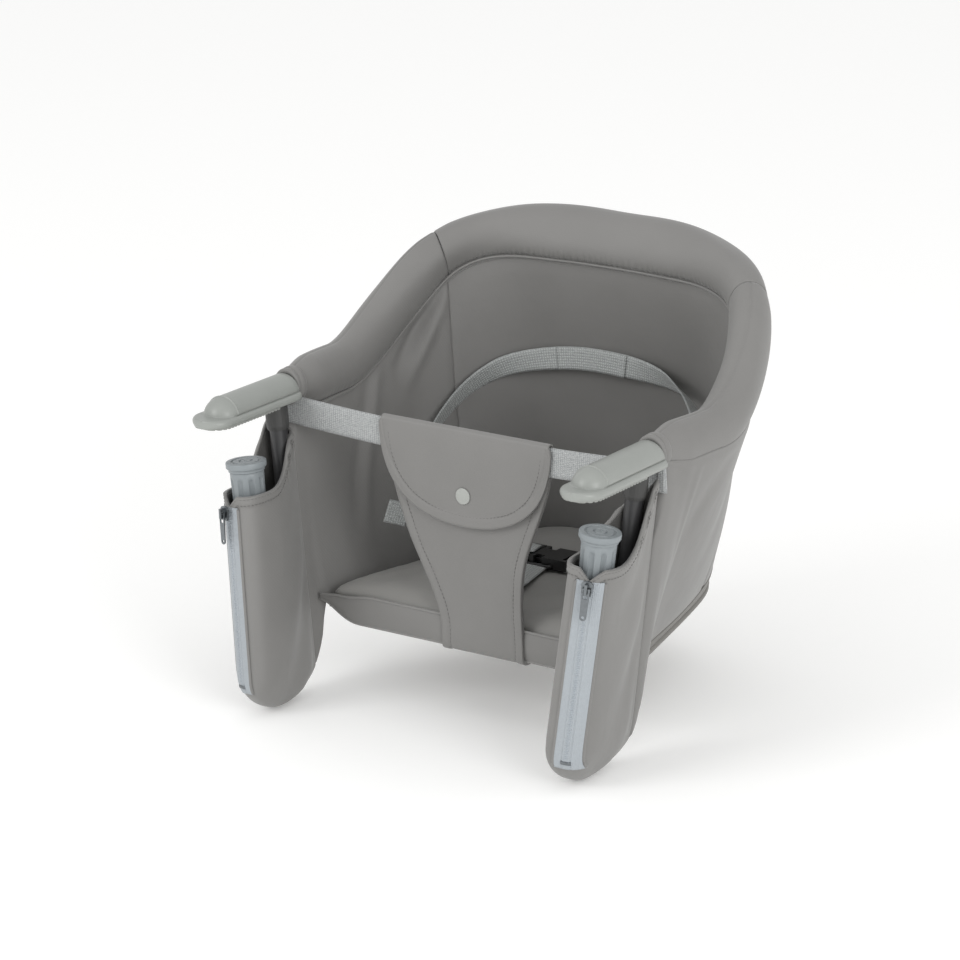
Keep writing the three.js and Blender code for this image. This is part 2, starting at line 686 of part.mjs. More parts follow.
// Waist belt, its adjusting tail and the side-release buckle, which lies flat on the cushion
const crownAtBuckle = cushionCrown(2 * BUCKLE_SETBACK / (BASE_BACK_Y - BASE_FRONT_Y));
const BUCKLE_Y = BASE_FRONT_Y + BUCKLE_SETBACK;
const beltZ = cushionTop + crownAtBuckle + CLOTH_GAP + BELT_THICKNESS / 2;
const buckleZ = beltZ + (BELT_THICKNESS + BUCKLE_THICKNESS) / 2 + SEAT_GAP;
const beltStartX = BUCKLE_X - BUCKLE_LENGTH / 2 - BUCKLE_STOP;
const lyingFlat = Math.PI / 2;
function waistBelt() {
  const offWall = WALL_THICKNESS / 2 + BELT_WIDTH * 0.25 + CLOTH_GAP;
  const bodyEnd = BUCKLE_X + BUCKLE_LENGTH / 2;
  const leanAt = (s) => lyingFlat * (1 - smoothstep(s, 0.06, 0.16) + smoothstep(s, 0.86, 0.94));
  return ribbon([
    vec(beltStartX, BUCKLE_Y, beltZ),
    vec(beltStartX - BELT_LIE, BUCKLE_Y, beltZ),
    vec(beltStartX - 2 * BELT_LIE, BUCKLE_Y, beltZ + BELT_LIFT),
    wallPoint(0.2, 0.52, offWall + 8),
    wallPoint(0.27, 0.4, offWall + 2),
    wallPoint(0.34, 0.36, offWall),
    wallPoint(0.42, 0.335, offWall),
    wallPoint(0.5, 0.32, offWall),
    wallPoint(0.58, 0.35, offWall + 10),
    wallPoint(0.67, 0.38, offWall + 22),
    wallPoint(0.77, 0.42, offWall + 14),
    wallPoint(0.86, 0.62, offWall + 6),
    vec(bodyEnd + BELT_LIE, BUCKLE_Y - BELT_LIFT, beltZ + BELT_LIFT),
    vec(bodyEnd + BELT_LIE * 0.3, BUCKLE_Y, beltZ),
    vec(bodyEnd - BUCKLE_STOP, BUCKLE_Y, beltZ),
  ], BELT_WIDTH, BELT_THICKNESS, 40, leanAt);
}

function beltTail() {
  const over = 2 * buckleZ - beltZ;
  const along = (share, rise) => vec(
    beltStartX - TAIL_REACH * share,
    BUCKLE_Y - TAIL_FORWARD * share * share,
    over + TAIL_RISE * rise,
  );
  const route = [along(0, 0), along(0.3, 0.1), along(0.65, 0.5), along(1, 1)];
  return ribbon(route, BELT_WIDTH, BELT_THICKNESS, 8, (s) => lyingFlat * (1 - smoothstep(s, 0.2, 0.8)));
}

const strapSlotHalf = BELT_WIDTH / 2 + CLOTH_GAP;
const mouthHalf = BUCKLE_WIDTH / 2 - 2 * BUCKLE_WALL;
const prongThickness = BUCKLE_THICKNESS - 2 * BUCKLE_WALL - 4 * SEAT_GAP;
function atBuckle(geometry) {
  return geometry.rotateX(lyingFlat).translate(BUCKLE_X, BUCKLE_Y, buckleZ);
}

function buckleBody() {
  const half = vec(BUCKLE_LENGTH, BUCKLE_THICKNESS, BUCKLE_WIDTH).multiplyScalar(0.5);
  const shell = block(half.clone().negate(), half);
  const mouth = block(
    vec(-half.x - BUCKLE_STOP, BUCKLE_WALL - half.y, -mouthHalf),
    vec(2 * BUCKLE_WALL + PRONG_LENGTH - half.x, half.y - BUCKLE_WALL, mouthHalf),
  );
  const slotWidth = 2 * BELT_THICKNESS;
  const slot = block(
    vec(half.x - BUCKLE_WALL - slotWidth, -BUCKLE_THICKNESS, -strapSlotHalf),
    vec(half.x - BUCKLE_WALL, BUCKLE_THICKNESS, strapSlotHalf),
  );
  const windowDepth = half.z - mouthHalf + 3 * BUCKLE_WALL / 2;
  const windowAt = (z) => block(
    vec(2 * BUCKLE_WALL - half.x, -BUCKLE_THICKNESS, z - windowDepth),
    vec(2 * BUCKLE_WALL - half.x + PRONG_LENGTH * 0.6, BUCKLE_THICKNESS, z + windowDepth),
  );
  return atBuckle(cut(shell, mouth, slot, windowAt(half.z), windowAt(-half.z)));
}

function buckleTongue() {
  const mouthFace = -BUCKLE_LENGTH / 2;
  const head = block(
    vec(mouthFace - TONGUE_HEAD_LENGTH, -BUCKLE_THICKNESS / 2, -BUCKLE_WIDTH / 2),
    vec(mouthFace - BUCKLE_STOP, BUCKLE_THICKNESS / 2, BUCKLE_WIDTH / 2),
  );
  const prong = (zLow, zHigh, length) => block(
    vec(mouthFace - 2 * BUCKLE_STOP, -prongThickness / 2, zLow),
    vec(mouthFace + length, prongThickness / 2, zHigh),
  );
  const outside = mouthHalf - 2 * SEAT_GAP;
  const inside = outside - 2 * BUCKLE_WALL;
  const guide = prong(-BUCKLE_WALL, BUCKLE_WALL, PRONG_LENGTH - BUCKLE_WALL);
  const slotWidth = 2 * BELT_THICKNESS;
  const slotAt = (x) => block(
    vec(x, -BUCKLE_THICKNESS, -strapSlotHalf),
    vec(x + slotWidth, BUCKLE_THICKNESS, strapSlotHalf),
  );
  const firstSlot = mouthFace - TONGUE_HEAD_LENGTH + BUCKLE_WALL;
  const barred = cut(head, slotAt(firstSlot), slotAt(firstSlot + slotWidth + BUCKLE_WALL));
  const prongs = [prong(inside, outside, PRONG_LENGTH), prong(-outside, -inside, PRONG_LENGTH)];
  return atBuckle(join(barred, ...prongs, guide));
}

// Cap on the arm: a half-capsule dome on a stadium flange that reaches ahead as a bill, with a bore
const capFrontY = CLAMP_REAR_Y - CAP_LENGTH;
const domeFrontY = capFrontY + CAP_BILL_REACH;
const armFrontY = domeFrontY + CAP_DOME_RADIUS;
const flangeBottom = GRIP_PAD_THICKNESS - ARM_AXIS_HEIGHT;
function stadium(halfWidth, frontY, rearY) {
  const outline = new THREE.Shape();
  outline.moveTo(halfWidth, rearY);
  outline.lineTo(-halfWidth, rearY);
  outline.lineTo(-halfWidth, frontY + halfWidth);
  outline.absarc(0, frontY + halfWidth, halfWidth, Math.PI, 2 * Math.PI, false);
  return outline;
}

function armCap() {
  const flange = new THREE.ExtrudeGeometry(stadium(FLANGE_HALF_WIDTH, capFrontY, CLAMP_REAR_Y), {
    depth: FLANGE_TOP_Z - GRIP_PAD_THICKNESS - 2 * FLANGE_LIP,
    bevelThickness: FLANGE_LIP,
    bevelSize: FLANGE_LIP,
    bevelOffset: -FLANGE_LIP,
    bevelSegments: 2,
    curveSegments: 9,
  }).translate(0, 0, flangeBottom + FLANGE_LIP);
  const profile = [];
  const noseSteps = 6;
  for (let i = 0; i <= noseSteps; i += 1) {
    const angle = Math.PI / 2 * i / noseSteps;
    profile.push(new THREE.Vector2(
      CAP_DOME_RADIUS * Math.sin(angle),
      domeFrontY + CAP_DOME_RADIUS * (1 - Math.cos(angle)),
    ));
  }
  profile.push(new THREE.Vector2(CAP_DOME_RADIUS, CLAMP_REAR_Y));
  profile.push(new THREE.Vector2(0, CLAMP_REAR_Y));
  profile[0].x = 0;
  const dome = facingOut(new THREE.LatheGeometry(profile, 24)).translate(0, 0, -CAP_DOME_DROP);
  const reach = 2 * CAP_LENGTH;
  const below = block(vec(-reach, -reach, -reach), vec(reach, reach, flangeBottom + FLANGE_LIP));
  const bore = barAlongY(TUBE_RADIUS + RUNNING_GAP, armFrontY - SEAT_GAP, CLAMP_REAR_Y + 1, 16);
  return cut(join(cut(dome, below), flange), bore);
}

// Rubber pad under the flange, with flat-topped teeth across it
const gripPadRear = LEG_SPACING - COLLAR_RADIUS - CLOTH_GAP;
function gripPad() {
  const low = -ARM_AXIS_HEIGHT;
  const top = flangeBottom - SEAT_GAP;
  const front = capFrontY + GRIP_PAD_INSET;
  const count = Math.floor((gripPadRear - front) / GRIP_TOOTH_PITCH);
  const comb = new THREE.Shape();
  comb.moveTo(front, top);
  for (let i = 0; i < count; i += 1) {
    const y = front + i * GRIP_TOOTH_PITCH;
    comb.lineTo(y, low + GRIP_TOOTH_DEPTH);
    comb.lineTo(y + (GRIP_TOOTH_PITCH - GRIP_TOOTH_LAND) / 2, low);
    comb.lineTo(y + (GRIP_TOOTH_PITCH + GRIP_TOOTH_LAND) / 2, low);
  }
  comb.lineTo(front + count * GRIP_TOOTH_PITCH, low + GRIP_TOOTH_DEPTH);
  comb.lineTo(front + count * GRIP_TOOTH_PITCH, top);
  const bar = acrossX(comb, FLANGE_HALF_WIDTH);
  const outline = stadium(FLANGE_HALF_WIDTH - GRIP_PAD_INSET, front, gripPadRear);
  const plan = new THREE.ExtrudeGeometry(outline, {
    depth: 2 * ARM_AXIS_HEIGHT,
    bevelEnabled: false,
    curveSegments: 12,
  });
  return common(bar, plan.translate(0, 0, -2 * ARM_AXIS_HEIGHT));
}

// A (y, z) outline carried across from -half to half along X
function acrossX(outline, half) {
  const flat = new THREE.ExtrudeGeometry(outline, {
    depth: 2 * half,
    bevelEnabled: false,
    curveSegments: 16,
  });
  const turn = new THREE.Matrix4().makeBasis(vec(0, 1, 0), vec(0, 0, 1), vec(1, 0, 0));
  return flat.applyMatrix4(turn).translate(-half, 0, 0);
}

// Leg collar: a dark cup under the cap that takes the top of the rear leg
const collarTop = flangeBottom - COLLAR_RADIUS * Math.tan(LEG_LEAN) - 2 * SEAT_GAP;
const cupFloor = 3;
function legCollar() {
  const bore = LEG_RADIUS + SEAT_GAP;
  const bottom = collarTop - COLLAR_LENGTH;
  return turned([
    [0, collarTop],
    [COLLAR_RADIUS, collarTop],
    [COLLAR_RADIUS, bottom + 3],
    [COLLAR_RADIUS - 0.8, bottom],
    [bore, bottom],
    [bore, collarTop - cupFloor],
    [0, collarTop - cupFloor],
  ]).translate(0, LEG_SPACING, 0);
}

// Clamp tube: rear leg, round bend and front leg in one plane
const padTop = -(ARM_AXIS_HEIGHT + JAW_GAP) / Math.cos(LEG_LEAN);
const gripTop = padTop - KNOB_PAD_HEIGHT - SEAT_GAP;
const gripBottom = gripTop - KNOB_GRIP_LENGTH;
const frontLegTop = gripBottom - NUT_HEAD_THICKNESS - 6;
function clampTube() {
  const rearTop = collarTop - cupFloor - SEAT_GAP;
  const bendTop = -LEG_BEND_DROP + LEG_SPACING;
  const path = new THREE.CurvePath();
  path.add(new THREE.LineCurve3(vec(0, LEG_SPACING, rearTop), vec(0, LEG_SPACING, bendTop)));
  path.add(new THREE.CubicBezierCurve3(
    vec(0, LEG_SPACING, bendTop),
    vec(0, LEG_SPACING, -LEG_BEND_DROP + LEG_SPACING * 0.3),
    vec(0, 0, -LEG_BEND_DROP - LEG_SPACING * 0.1),
    vec(0, 0, bendTop),
  ));
  path.add(new THREE.LineCurve3(vec(0, 0, bendTop), vec(0, 0, frontLegTop)));
  const steps = 24;
  const across = vec(1, 0, 0);
  const rings = (radius) => Array.from({ length: steps + 1 }, (_, s) => {
    const normal = path.getTangent(s / steps).cross(across).normalize();
    return ellipse(path.getPoint(s / steps), across, normal, radius, radius, TUBE_SIDES);
  });
  return hollowLoft(rings(LEG_RADIUS), rings(LEG_BORE_RADIUS));
}

// Nut in the front leg, threaded spindle, fluted grip and table pad
function spindleNut() {
  const bore = SPINDLE_RADIUS + RUNNING_GAP;
  const shank = LEG_BORE_RADIUS * Math.cos(Math.PI / TUBE_SIDES) - SEAT_GAP;
  const seat = frontLegTop + SEAT_GAP;
  return turned([
    [bore, seat + NUT_HEAD_THICKNESS],
    [LEG_RADIUS, seat + NUT_HEAD_THICKNESS],
    [LEG_RADIUS, seat],
    [shank, seat],
    [shank, seat - NUT_LENGTH],
    [bore, seat - NUT_LENGTH],
    [bore, seat + NUT_HEAD_THICKNESS],
  ], 20);
}

const spindleTop = gripBottom + KNOB_GRIP_LENGTH * 0.4;
function spindle() {
  return bar(SPINDLE_RADIUS, spindleTop - SPINDLE_LENGTH, spindleTop, 16);
}

function knobGrip() {
  const perFlute = 4;
  const count = KNOB_FLUTES * perFlute;
  const ring = (z, radius, depth) => Array.from({ length: count }, (_, i) => {
    const angle = 2 * Math.PI * i / count;
    const hollow = Math.max(0, Math.cos(KNOB_FLUTES * angle));
    const r = radius - depth * hollow;
    return vec(r * Math.cos(angle), r * Math.sin(angle), z);
  });
  const bevel = 2;
  const body = loft([
    ring(gripTop, KNOB_GRIP_RADIUS, 0),
    ring(gripTop - 2 * bevel, KNOB_GRIP_RADIUS, 0),
    ring(gripTop - 3 * bevel, KNOB_GRIP_RADIUS, KNOB_FLUTE_DEPTH),
    ring(gripBottom + bevel, KNOB_GRIP_RADIUS * 0.95, KNOB_FLUTE_DEPTH),
    ring(gripBottom, KNOB_GRIP_RADIUS * 0.9, KNOB_FLUTE_DEPTH / 2),
  ]);
  return cut(body, bar(SPINDLE_RADIUS + SEAT_GAP, gripBottom - 1, spindleTop + SEAT_GAP, 16));
}

function knobPad() {
  const groove = 0.7;
  const step = 1.2;
  const rim = KNOB_PAD_RADIUS;
  return turned([
    [0, padTop],
    [rim * 0.1, padTop],
    [rim * 0.12, padTop - groove],
    [rim * 0.36, padTop - groove],
    [rim * 0.38, padTop],
    [rim * 0.66, padTop],
    [rim * 0.68, padTop - groove],
    [rim * 0.75, padTop - groove],
    [rim * 0.77, padTop],
    [rim - step, padTop],
    [rim, padTop - step],
    [rim, padTop - KNOB_PAD_HEIGHT * 0.65],
    [rim - step, padTop - KNOB_PAD_HEIGHT * 0.75],
    [rim - step, padTop - KNOB_PAD_HEIGHT],
    [0, padTop - KNOB_PAD_HEIGHT],
  ], 22);
}

// Sleeve: a cloth envelope round the leg, open at the top along a scooped hem. It has a rounded nose,
// turned outwards a little, and thins to a tail that meets the front of the bucket's side wall.
function sleeveEdges(z) {
  const frontSlope = (z - ZIP_TOP_Z) / (ZIP_BOTTOM_Z - ZIP_TOP_Z);
  const straightFront = lerp(SLEEVE_FRONT_TOP_Y, SLEEVE_FRONT_LOW_Y, clamp(frontSlope, 0, 1));
  const roundOff = (turnZ, power) => {
    const share = clamp((turnZ - z) / (turnZ - SLEEVE_BOTTOM_Z), 0, 1);
    return (1 - share ** power) ** (1 / power);
  };
  const rearReach = (SLEEVE_TAIL_Y - sleeveTurnY) * roundOff(SLEEVE_REAR_TURN_Z, TAIL_ROUNDNESS);
  const front = sleeveTurnY + (straightFront - sleeveTurnY) * roundOff(SLEEVE_FRONT_TURN_Z, 2);
  const rear = Math.min(CLAMP_REAR_Y, sleeveTurnY + rearReach);
  return {
    front,
    rear,
    noseLength: Math.min(SLEEVE_NOSE_LENGTH, (rear - front) / 2),
    fullness: lerp(0.12, 1, roundOff(SLEEVE_FRONT_TURN_Z + 12, 2)),
  };
}

function sleeveRing(sign, z, wall) {
  const { front, rear, noseLength, fullness } = sleeveEdges(z);
  const half = SLEEVE_FRONT_HALF * fullness - wall;
  const tailHalf = SLEEVE_TAIL_HALF * fullness - wall;
  const noseY = front + noseLength;
  const power = 2 / SLEEVE_ROUNDNESS;
  const noseSteps = 11;
  const ring = [];
  for (let i = 0; i <= noseSteps; i += 1) {
    const angle = Math.PI * (i / noseSteps - 0.5);
    const x = half * Math.sign(angle) * Math.abs(Math.sin(angle)) ** power;
    const ahead = Math.max(0, Math.cos(angle)) ** power;
    ring.push(vec(x, noseY - (noseLength - wall) * ahead + sign * x * SLEEVE_NOSE_SLOPE * ahead, z));
  }
  const tailShares = [0.3, 0.5, 0.65, 0.8, 1];
  const tail = tailShares.map((share) => vec(
    lerp(half, tailHalf, smoothstep(share, 0.56, 1)),
    lerp(noseY, rear - wall, share),
    z,
  ));
  ring.push(...tail);
  ring.push(...tail.reverse().map((p) => vec(-p.x, p.y, z)));
  return ring;
}

function sleeve(sign) {
  const levels = [0, 0.2, 0.4, 0.6, 0.72, 0.8, 0.87, 0.92, 0.96, 0.985];
  const heightAt = (share) => lerp(SLEEVE_TOP_Z, SLEEVE_BOTTOM_Z, share);
  const outer = loft(levels.map((share) => sleeveRing(sign, heightAt(share), 0)));
  const innerLevels = levels.slice(0, -2).map((share) => sleeveRing(sign, heightAt(share), SLEEVE_WALL));
  const raised = innerLevels[0].map((p) => p.clone().setZ(SLEEVE_TOP_Z + 5));
  const inner = loft([raised, ...innerLevels]);
  const scoop = new THREE.Shape();
  scoop.moveTo(-2 * LEG_SPACING, HEM_LOW_Z + 3);
  scoop.lineTo(SLEEVE_FRONT_TOP_Y, HEM_LOW_Z);
  scoop.bezierCurveTo(
    LEG_SPACING * 0.25, HEM_LOW_Z,
    LEG_SPACING * 0.62, lerp(HEM_LOW_Z, HEM_REAR_Z, 0.4),
    LEG_SPACING * 0.96, HEM_REAR_Z,
  );
  scoop.lineTo(LEG_SPACING * 1.04, SLEEVE_TOP_Z + 10);
  scoop.lineTo(-2 * LEG_SPACING, SLEEVE_TOP_Z + 10);
  return cut(outer, inner, acrossX(scoop, 2 * SLEEVE_FRONT_HALF));
}

// Zip down the front of the sleeve: cloth tape, coil, end stop, slider and pull tab.
// Its places are given by how far out they are from the sleeve's middle.
function noseDepth(out, z) {
  const { front, noseLength, fullness } = sleeveEdges(z);
  const share = Math.min(Math.abs(out) / (SLEEVE_FRONT_HALF * fullness), 0.98);
  const ahead = (1 - share ** SLEEVE_ROUNDNESS) ** (1 / SLEEVE_ROUNDNESS);
  return front + noseLength * (1 - ahead) + out * SLEEVE_NOSE_SLOPE * ahead;
}

const zipTurn = Math.atan((noseDepth(ZIP_OFFSET + 1, ZIP_TOP_Z) - noseDepth(ZIP_OFFSET - 1, ZIP_TOP_Z)) / 2);
function zipFront(sign, out, z, lift) {
  const across = out + Math.sin(zipTurn) * lift;
  return vec(sign * across, noseDepth(out, z) - Math.cos(zipTurn) * lift, z);
}

function zipStrip(sign, width, lift, thickness, zBottom, across) {
  return sheet((u, v) => {
    const out = ZIP_OFFSET + lerp(-width / 2, width / 2, u);
    return zipFront(sign, out, lerp(ZIP_TOP_Z, zBottom, v), lift + thickness / 2);
  }, across, 9, thickness);
}

const tapeLift = CLOTH_GAP;
const coilLift = tapeLift + ZIP_THICKNESS + SEAT_GAP;
const zipTape = (sign) => zipStrip(sign, ZIP_WIDTH, tapeLift, ZIP_THICKNESS, ZIP_BOTTOM_Z, 4);
const zipCoil = (sign) => zipStrip(sign, COIL_WIDTH, coilLift, COIL_HEIGHT, ZIP_BOTTOM_Z + 5, 1);

// A part made facing the front, put on the zip at a height
const zipTop = zipFront(1, ZIP_OFFSET, ZIP_TOP_Z, 0);
const zipRun = zipFront(1, ZIP_OFFSET, SLEEVE_FRONT_TURN_Z, 0).sub(zipTop).normalize();
const zipTilt = Math.atan2(-zipRun.y, -zipRun.z);
function onZip(sign, geometry, z, lift) {
  const at = zipFront(sign, ZIP_OFFSET, z, lift);
  return geometry.rotateX(-zipTilt).rotateZ(sign * zipTurn).translate(at.x, at.y, at.z);
}

function zipStop(sign) {
  const half = COIL_WIDTH * 0.9;
  return onZip(sign, block(vec(-half, -2.4, -1.8), vec(half, 0, 2.2)), ZIP_BOTTOM_Z + 2, coilLift);
}

// The slider stands off the coil by a running gap, so that it can run down the zip.
const sliderFloor = coilLift + COIL_HEIGHT + RUNNING_GAP + 0.3;
const sliderMiddle = ZIP_TOP_Z - SLIDER_LENGTH / 2 - 1;
const pullPivot = 4;
function zipSlider(sign) {
  const half = SLIDER_LENGTH / 2;
  const body = new THREE.Shape();
  body.moveTo(-half * 0.62, -half);
  body.lineTo(half * 0.62, -half);
  body.lineTo(half * 0.8, half * 0.5);
  body.quadraticCurveTo(half * 0.7, half, 0, half);
  body.quadraticCurveTo(-half * 0.7, half, -half * 0.8, half * 0.5);
  const plate = new THREE.ExtrudeGeometry(body, { depth: 2, bevelEnabled: false, curveSegments: 4 });
  plate.rotateX(Math.PI / 2);
  const lug = block(vec(-1.2, -pullPivot - 2.2, -half * 0.7), vec(1.2, -1.8, half * 0.7));
  const eye = new THREE.CylinderGeometry(1.2, 1.2, 4, 12).rotateZ(Math.PI / 2).translate(0, -pullPivot, 0);
  return onZip(sign, cut(join(plate, lug), eye), sliderMiddle, sliderFloor);
}

function zipPull(sign) {
  const halfWidth = 3.4;
  const endRadius = halfWidth * 0.8;
  const thickness = 1;
  const pullBar = 0.6;
  const tag = new THREE.Shape();
  tag.moveTo(-halfWidth, pullBar);
  tag.lineTo(-endRadius, -PULL_LENGTH + endRadius);
  tag.absarc(0, -PULL_LENGTH + endRadius, endRadius, Math.PI, 2 * Math.PI, false);
  tag.lineTo(halfWidth, pullBar);
  const plate = new THREE.ExtrudeGeometry(tag, { depth: thickness, bevelEnabled: false, curveSegments: 8 });
  plate.rotateX(Math.PI / 2).translate(0, thickness / 2, 0);
  const slot = block(vec(-1.9, -thickness, -PULL_LENGTH * 0.3), vec(1.9, thickness, -pullBar));
  const hole = barAlongY(1.4, -thickness, thickness, 12).translate(0, 0, -PULL_LENGTH + endRadius);
  return onZip(sign, cut(plate, slot, hole).translate(0, -pullPivot, 0), sliderMiddle, sliderFloor);
}

// The seat
const chair = new THREE.Group();
const boardBottom = BASE_TOP_Z + SEAT_GAP;
const boardInset = WALL_THICKNESS + CLOTH_GAP;
chair.add(
  piece('top_tube', topTube(), steel),
  piece('left_rim_roll', rimRoll(leftRun), cloth),
  piece('back_rim_roll', rimRoll(backRun), cloth),
  piece('right_rim_roll', rimRoll(rightRun), cloth),
  piece('left_side_panel', wallPanel(leftRun), cloth),
  piece('back_panel', wallPanel(backRun), cloth),
  piece('right_side_panel', wallPanel(rightRun), cloth),
  piece('base_cover', basePlate(0, BASE_TOP_Z - BASE_THICKNESS, BASE_TOP_Z), darkCloth),
  piece('seat_board', basePlate(boardInset, boardBottom, boardBottom + BOARD_THICKNESS), plywood),
  piece('seat_cushion', seatCushion(), cloth),
  piece('bar_strap', barStrap(), webbing),
  piece('crotch_panel', crotchPanel(), cloth),
  piece('crotch_flap', crotchFlap(), cloth),
  piece('snap_cap', snapCap(), snapMetal),
  piece('snap_socket', snapSocket(), snapMetal),
  piece('waist_belt', waistBelt(), webbing),
  piece('belt_tail', beltTail(), webbing),
  piece('buckle_body', buckleBody(), blackPlastic),
  piece('buckle_tongue', buckleTongue(), blackPlastic),
);

// One clamp on the end of each arm. The cap is level and the leg below it leans inwards.
for (const [side, sign] of [['left', -1], ['right', 1]]) {
  const cap = new THREE.Group();
  cap.position.set(sign * ARM_HALF_SPACING, 0, ARM_AXIS_HEIGHT);
  cap.add(
    piece(`${side}_arm_cap`, armCap(), capPlastic),
    piece(`${side}_grip_pad`, gripPad(), rubber),
  );
  const leg = new THREE.Group();
  leg.rotation.y = sign * LEG_LEAN;
  leg.add(
    piece(`${side}_leg_collar`, legCollar(), darkPlastic),
    piece(`${side}_clamp_tube`, clampTube(), steel),
    piece(`${side}_spindle_nut`, spindleNut(), zincMetal),
    piece(`${side}_spindle`, spindle(), steel),
    piece(`${side}_knob_grip`, knobGrip(), knobPlastic),
    piece(`${side}_knob_pad`, knobPad(), knobPlastic),
    piece(`${side}_sleeve`, sleeve(sign), cloth),
    piece(`${side}_zip_tape`, zipTape(sign), zipCloth),
    piece(`${side}_zip_coil`, zipCoil(sign), zipCloth),
    piece(`${side}_zip_stop`, zipStop(sign), zincMetal),
    piece(`${side}_zip_slider`, zipSlider(sign), zincMetal),
    piece(`${side}_zip_pull`, zipPull(sign), zincMetal),
  );
  cap.add(leg);
  chair.add(cap);
}

export default chair;
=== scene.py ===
"""Looks of a hook-on table chair: padded cloth bucket, zipped clamp sleeves, webbing and moulded parts."""
import math

import bmesh
import bpy
import numpy as np
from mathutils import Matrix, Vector


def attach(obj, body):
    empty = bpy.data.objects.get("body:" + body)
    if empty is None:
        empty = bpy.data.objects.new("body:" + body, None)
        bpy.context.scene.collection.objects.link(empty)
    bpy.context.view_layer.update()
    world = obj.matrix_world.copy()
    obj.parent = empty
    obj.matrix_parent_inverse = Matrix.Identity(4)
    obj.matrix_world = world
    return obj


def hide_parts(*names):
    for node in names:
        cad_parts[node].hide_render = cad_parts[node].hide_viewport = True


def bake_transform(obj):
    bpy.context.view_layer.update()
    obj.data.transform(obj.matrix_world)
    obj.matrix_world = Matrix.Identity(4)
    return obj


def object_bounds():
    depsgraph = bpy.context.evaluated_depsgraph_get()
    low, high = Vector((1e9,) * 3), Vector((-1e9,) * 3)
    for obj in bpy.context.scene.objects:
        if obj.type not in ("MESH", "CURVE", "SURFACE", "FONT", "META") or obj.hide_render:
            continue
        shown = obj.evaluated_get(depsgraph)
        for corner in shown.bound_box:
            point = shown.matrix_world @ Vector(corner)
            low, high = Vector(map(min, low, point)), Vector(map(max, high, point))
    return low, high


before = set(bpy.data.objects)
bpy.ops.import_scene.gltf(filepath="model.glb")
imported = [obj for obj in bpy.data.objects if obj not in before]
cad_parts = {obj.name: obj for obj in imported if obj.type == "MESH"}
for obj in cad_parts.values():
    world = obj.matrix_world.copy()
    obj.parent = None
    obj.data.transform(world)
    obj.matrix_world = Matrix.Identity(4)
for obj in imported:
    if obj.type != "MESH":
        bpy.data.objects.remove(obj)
cad_low, cad_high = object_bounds()

# Sizes in millimetres, in the chair's own frame: +Z up, the table top at zero, the chair faces -Y
MM = 0.001
ARM_HALF_SPACING = 177.5
ARM_AXIS_HEIGHT = 12.0
LEG_LEAN = math.radians(6)
CLAMP_REAR_Y = 63.0
RIM_FRONT_Y = 64.2
RIM_BACK_Y = 302.0
RIM_BACK_HALF_WIDTH = 209.0
RIM_SQUARENESS = 2.94
RIM_FLARE_EASE = 1.3
RIM_RISE = 112.0
RISE_START_Y = 140.0
RISE_END_Y = 325.0
ROLL_HALF_WIDTH = 18.0
ROLL_HALF_HEIGHT = 23.0
ROLL_DROP = 6.0
ROLL_BORE = 8.6
CUFF_SHARE = 0.72
CUFF_LENGTH = 30.0
SEAM_SHARE = 0.295
WALL_FRONT_Y = 71.4
WALL_THICKNESS = 4.0
WALL_BULGE = 7.0
WALL_FRONT_LENGTH = 45.0
BASE_TOP_Z = -183.0
BASE_THICKNESS = 7.0
BASE_FRONT_Y = 74.0
BASE_BACK_Y = 334.0
BASE_FRONT_HALF_WIDTH = 151.0
BASE_BACK_HALF_WIDTH = 94.0
BASE_SQUARENESS = 8.0
STRAP_WIDTH = 25.0
STRAP_THICKNESS = 1.6
STRAP_Y = 69.4
STRAP_TOP_Z = 3.0
STRAP_SAG = 6.5
STRAP_HALF_LENGTH = 190.0
FLAP_Y = 66.4
FLAP_HALF_WIDTH = 84.0
FLAP_TOP_Z = -2.3
FLAP_DROP = 80.0
PANEL_Y = 72.6
PANEL_TOP_HALF_WIDTH = 82.0
PANEL_LOW_HALF_WIDTH = 40.0
PANEL_LOW_SHIFT = 16.0
BELT_WIDTH = 20.0
BELT_THICKNESS = 1.6
LEG_SPACING = 48.0
SLEEVE_FRONT_TOP_Y = -21.0
SLEEVE_FRONT_LOW_Y = -29.0
SLEEVE_FRONT_HALF = 20.0
SLEEVE_NOSE_LENGTH = 32.0
SLEEVE_NOSE_SLOPE = 0.18
SLEEVE_ROUNDNESS = 3.0
SLEEVE_TURN_Y = 9.6
SLEEVE_TAIL_Y = 80.0
SLEEVE_TAIL_HALF = 3.0
SLEEVE_OUTER_TAIL = 12.0
TAIL_ROUNDNESS = 2.5
SLEEVE_BOTTOM_Z = -264.0
SLEEVE_REAR_TURN_Z = -187.0
SLEEVE_FRONT_TURN_Z = -233.0
ZIP_OFFSET = 6.0
ZIP_TOP_Z = -82.0
ZIP_BOTTOM_Z = -240.0
SIDES = (("left", -1), ("right", 1))
# Points of an outline in plan, and the shares of the rim between which its heading is steady
PLAN_POINTS = 2401
RIM_CLIP = (0.003, 0.997)


# Small tools for shapes
def smooth(x, low, high):
    """0 below low, 1 above high, eased between."""
    k = np.clip((np.asarray(x, float) - low) / (high - low), 0, 1)
    return k * k * (3 - 2 * k)


def bump(x, middle, width):
    """A soft hump of height 1."""
    return np.exp(-((np.asarray(x, float) - middle) / width) ** 2)


def unit(v):
    """Vectors made one long."""
    return v / np.linalg.norm(v, axis=-1, keepdims=True)


def turns(count):
    """Angles evenly round a circle."""
    return np.linspace(0, 2 * math.pi, count, endpoint=False)


def grid(down, across):
    """Two lists of values as grids, the first changing from row to row."""
    return np.meshgrid(down, across, indexing="ij")


